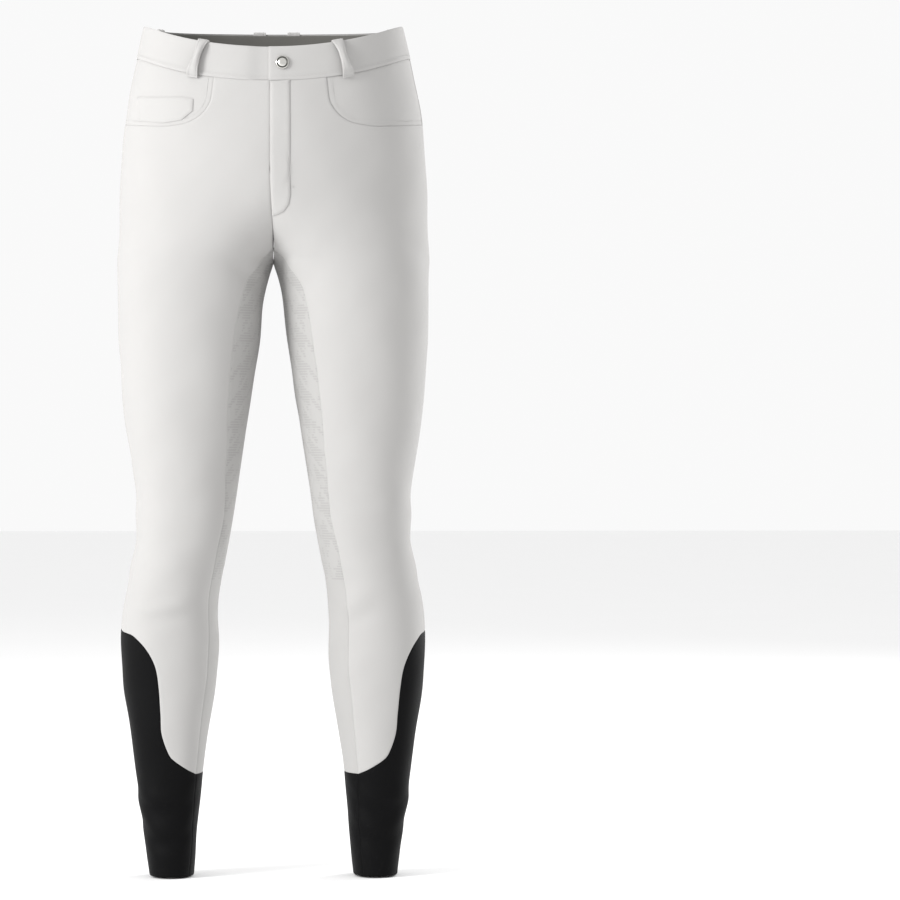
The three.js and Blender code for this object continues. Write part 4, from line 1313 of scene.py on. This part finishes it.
class BeltLoop:
    """One belt loop: a strip that stands off the band, wrapped from its top edge to below its seam."""

    def __init__(self, side, name, top_x, low_x, behind, tail, pinch):
        self.side, self.name, self.pinch = side, name, pinch
        self.top_turn = float(turn_at(top_x, SIDE_TOP_Z, behind))
        self.low_turn = float(turn_at(low_x, SIDE_SEAM_Z, behind))
        self.height = float(waist_top_z(self.top_turn) - waist_seam_z(self.low_turn)) + tail
        rows = [*LOOP_TOP_PATH, *[(stand, self.height - left) for stand, left in LOOP_LOW_PATH]]
        self.path = spline(np.array(rows, float))
        self.along = lengths_along(self.path)
        self.ahead = np.gradient(self.path, self.along, axis=0)
        self.length = self.along[-1]

    def place(self, points, lift):
        """A place on the loop from how far down it and how far across it a point lies."""
        def at(values):
            return np.interp(points[:, 0], self.along, values)

        across = points[:, 1] - LOOP_WIDTH / 2
        waist = 1 - self.pinch * np.sin(math.pi * points[:, 0] / self.length) ** 2
        lift = lift - (1 - waist) * 6 * (across / LOOP_WIDTH * 2) ** 2
        stand = at(self.path[:, 0]) + at(self.ahead[:, 1]) * lift
        drop = at(self.path[:, 1]) - at(self.ahead[:, 0]) * lift
        width = across * waist * FULL_TURN / girth_at(-drop)
        down = np.clip(drop / self.height, 0, 1)
        turn = self.top_turn + (self.low_turn - self.top_turn) * down + width
        return cloth_point(self.side, turn, waist_top_z(turn) - drop, stand)

    def sewn_place(self, wall):
        def place(points):
            surface = self.place(points, np.full(len(points), wall / 2 + 0.1))
            above = self.place(points, np.full(len(points), wall / 2 + 0.6))
            return surface, unit(above - surface)

        return place


def belt_loops(side):
    return [BeltLoop(side, *row) for row in BELT_LOOPS]


class BREECHES_OT_belt_loops(bpy.types.Operator):
    """Cut and wrap the six belt loops"""

    bl_idname = "breeches.belt_loops"
    bl_label = "Belt loops"

    def execute(self, context):
        wall = context.scene.breeches_sizes.loop_wall / MM
        for side, suffix in SIDES:
            for strip in belt_loops(side):
                def place(points, edge, strip=strip):
                    ridge = 0.25 * np.exp(-(((edge - 2.2) / 0.8) ** 2))
                    lift = wall / 2 + points[:, 2] - rolled(edge, 1.4, 0.4) - ridge
                    return strip.place(points, lift)

                node = f"belt_loop_{strip.name}_{suffix}"
                outline = strip_outline(strip.length, LOOP_WIDTH, 2)
                bm = cut_flat(outline, wall, 2.4, side == WEARER_LEFT)
                piece = finished(f"{node}_cloth", bm, place, look("pale"), node)
        return {"FINISHED"}


def fastening(name, side, at, behind, out, profile):
    """Spins a metal cap and sets it on the cloth."""
    across, z = at
    turn = turn_at(across, z, behind)
    z = np.array(float(z))
    centre = Vector(cloth_point(side, turn, z, out)) * MM
    normal = Vector(outwards(folded_point, side, turn, z))
    rim = max(radius for radius, _ in profile) * MM
    bm = bmesh.new()
    verts = [bm.verts.new((radius * MM, 0, height * MM)) for radius, height in profile]
    edges = [bm.edges.new(pair) for pair in zip(verts, verts[1:])]
    bmesh.ops.spin(
        bm, geom=[*verts, *edges], axis=(0, 0, 1), cent=(0, 0, 0), angle=2 * math.pi, steps=40, use_merge=True
    )
    bmesh.ops.remove_doubles(bm, verts=bm.verts[:], dist=1e-6)
    bmesh.ops.recalc_face_normals(bm, faces=bm.faces[:])
    mesh = bpy.data.meshes.new(name)
    bm.to_mesh(mesh)
    bm.free()
    uv = mesh.uv_layers.new(name="cut")
    for loop in mesh.loops:
        point = mesh.vertices[loop.vertex_index].co
        uv.uv[loop.index].vector = (math.hypot(point.x, point.y) / rim, point.z / rim)
    mesh.transform(Matrix.Translation(centre) @ normal.to_track_quat("Z", "Y").to_matrix().to_4x4())
    return shown(f"{name}_cap", mesh, look("metal"), name)


class BREECHES_OT_fastenings(bpy.types.Operator):
    """Spin the waist button and the two flap snaps"""

    bl_idname = "breeches.fastenings"
    bl_label = "Button and snaps"

    def execute(self, context):
        sizes = context.scene.breeches_sizes
        flap_out = TRIM_GAP + LAID_GAP + (sizes.pocket_wall + sizes.flap_wall) / MM
        fastening("waist_button", WEARER_LEFT, BUTTON_AT, False, BAND_OUT + 0.1, BUTTON_PROFILE)
        for side, suffix in SIDES:
            fastening(f"flap_snap_{suffix}", side, SNAP_AT, True, flap_out + TRIM_GAP, SNAP_PROFILE)
        return {"FINISHED"}


class BREECHES_OT_stitching(bpy.types.Operator):
    """Sew the rows of topstitching"""

    bl_idname = "breeches.stitching"
    bl_label = "Topstitching"

    def execute(self, context):
        sizes = context.scene.breeches_sizes
        wall, length = sizes.loop_wall / MM, band_length()

        def on_band(points):
            angle, share = band_angle(points[:, 0], length), 1 - points[:, 1] / BAND_HEIGHT
            out = BAND_OUT - band_sunk(angle) - GROOVE_DEPTH / 2
            surface, above = band_place(angle, share, out), band_place(angle, share, out + 0.5)
            return surface, unit(above - surface)

        starts = {WEARER_LEFT: (band_angle(0, 1), 0.5), WEARER_RIGHT: (0, 0)}
        patch = TRIM_GAP + LAID_GAP + sizes.pocket_wall / MM
        for side, suffix in SIDES:
            line = pattern(side)
            rows = []
            for name, panel, gap in TOPSTITCHES:
                out = -FACING_IN if panel == "pocket_facing" else -GROOVE_DEPTH / 2
                rows.append(sewn_row(offset(line[name], gap), on_leg(side, out)))
            on_patch = on_leg(side, patch - 0.15)
            for corners in PATCH_ROWS:
                rows.append(sewn_row(trim_line(corners, True, 2), on_patch))
            for corners in PATCH_TACKS:
                rows.extend(tack(trim_line(corners, True, 1), on_leg(side, 0.3)))
            if side == WEARER_LEFT:
                on_fly = on_leg(side, patch - GROOVE_DEPTH)
                rows.append(sewn_row(trim_line(FLY_ROW, False, 2), on_fly))
                rows.extend(tack(trim_line(FLY_TACK, False, 1), on_leg(side, 0.3)))
            ends = (0, length / 2) if side == WEARER_RIGHT else (length / 2, length)
            rows.append(sewn_row(np.array([(ends[0] + 6, BAND_ROW), (ends[1] - 6, BAND_ROW)], float), on_band))
            for strip in belt_loops(side):
                for across in (2.2, LOOP_WIDTH - 2.2):
                    seam = np.array([(6, across), (strip.length - 2, across)])
                    rows.append(sewn_row(seam, strip.sewn_place(wall)))
            sew(f"topstitching_{suffix}", rows)
        return {"FINISHED"}


class BREECHES_OT_stage(bpy.types.Operator):
    """Lay the floor, hang the lights and set up the camera"""

    bl_idname = "breeches.stage"
    bl_label = "Floor, lights and camera"

    def execute(self, context):
        scene, stage = context.scene, context.scene.breeches_stage
        bm = bmesh.new()
        bmesh.ops.create_grid(bm, x_segments=8, y_segments=8, size=20)
        bmesh.ops.translate(bm, vec=(0, 0, HEM_Z * MM - 0.002), verts=bm.verts[:])
        mesh = bpy.data.meshes.new("floor")
        bm.to_mesh(mesh)
        bm.free()
        mesh.materials.append(floor_finish("pale floor", scene.breeches_colours.floor))
        floor = bpy.data.objects.new("floor", mesh)
        scene.collection.objects.link(floor)

        target = Vector((0, 0, stage.height))
        lights = [
            ("key", (-3.4, -2.2, 0.9), 1.8, stage.key_power),
            ("rear", (3.2, 2.6, 0.9), 1.8, stage.fill_power),
        ]
        for name, place, size, power in lights:
            data = bpy.data.lights.new(name, "AREA")
            data.shape, data.size, data.energy = "DISK", size, power
            light = bpy.data.objects.new(name, data)
            light.location = place
            light.rotation_euler = (target - Vector(place)).to_track_quat("-Z", "Y").to_euler()
            light.visible_camera = False
            scene.collection.objects.link(light)

        world = bpy.data.worlds.new("studio")
        world.use_nodes = True
        background = world.node_tree.nodes["Background"]
        background.inputs["Color"].default_value = (1, 1, 1, 1)
        background.inputs["Strength"].default_value = stage.sky
        scene.world = world
        scene.view_settings.view_transform = "Standard"

        data = bpy.data.cameras.new("camera")
        data.sensor_width = 36
        data.lens = data.sensor_width * stage.distance / stage.view_width
        data.clip_end = 100
        camera = bpy.data.objects.new("camera", data)
        camera.location = (0, -stage.distance, stage.height)
        camera.rotation_euler = (math.pi / 2, 0, -math.atan2(stage.aside, stage.distance))
        scene.collection.objects.link(camera)
        scene.camera = camera
        return {"FINISHED"}


OPERATORS = (
    BREECHES_OT_leg_panels,
    BREECHES_OT_seat,
    BREECHES_OT_lower_legs,
    BREECHES_OT_pockets,
    BREECHES_OT_waistband,
    BREECHES_OT_belt_loops,
    BREECHES_OT_fastenings,
    BREECHES_OT_stitching,
    BREECHES_OT_stage,
)


class BREECHES_PT_pieces(bpy.types.Panel):
    bl_idname = "BREECHES_PT_pieces"
    bl_label = "Riding breeches"
    bl_space_type = "VIEW_3D"
    bl_region_type = "UI"
    bl_category = "Breeches"

    def draw(self, context):
        for operator in OPERATORS:
            self.layout.operator(operator.bl_idname)


GROUPS = {
    "breeches_sizes": BreechesSizes,
    "breeches_colours": BreechesColours,
    "breeches_stage": BreechesStage,
}


def register():
    for group in (*GROUPS.values(), *OPERATORS, BREECHES_PT_pieces):
        bpy.utils.register_class(group)
    for name, group in GROUPS.items():
        setattr(bpy.types.Scene, name, bpy.props.PointerProperty(type=group))


def unregister():
    for name in GROUPS:
        delattr(bpy.types.Scene, name)
    for group in (BREECHES_PT_pieces, *reversed(OPERATORS), *GROUPS.values()):
        bpy.utils.unregister_class(group)


def main():
    register()
    for operator in OPERATORS:
        category, name = operator.bl_idname.split(".")
        getattr(getattr(bpy.ops, category), name)()


if __name__ == "__main__":
    main()
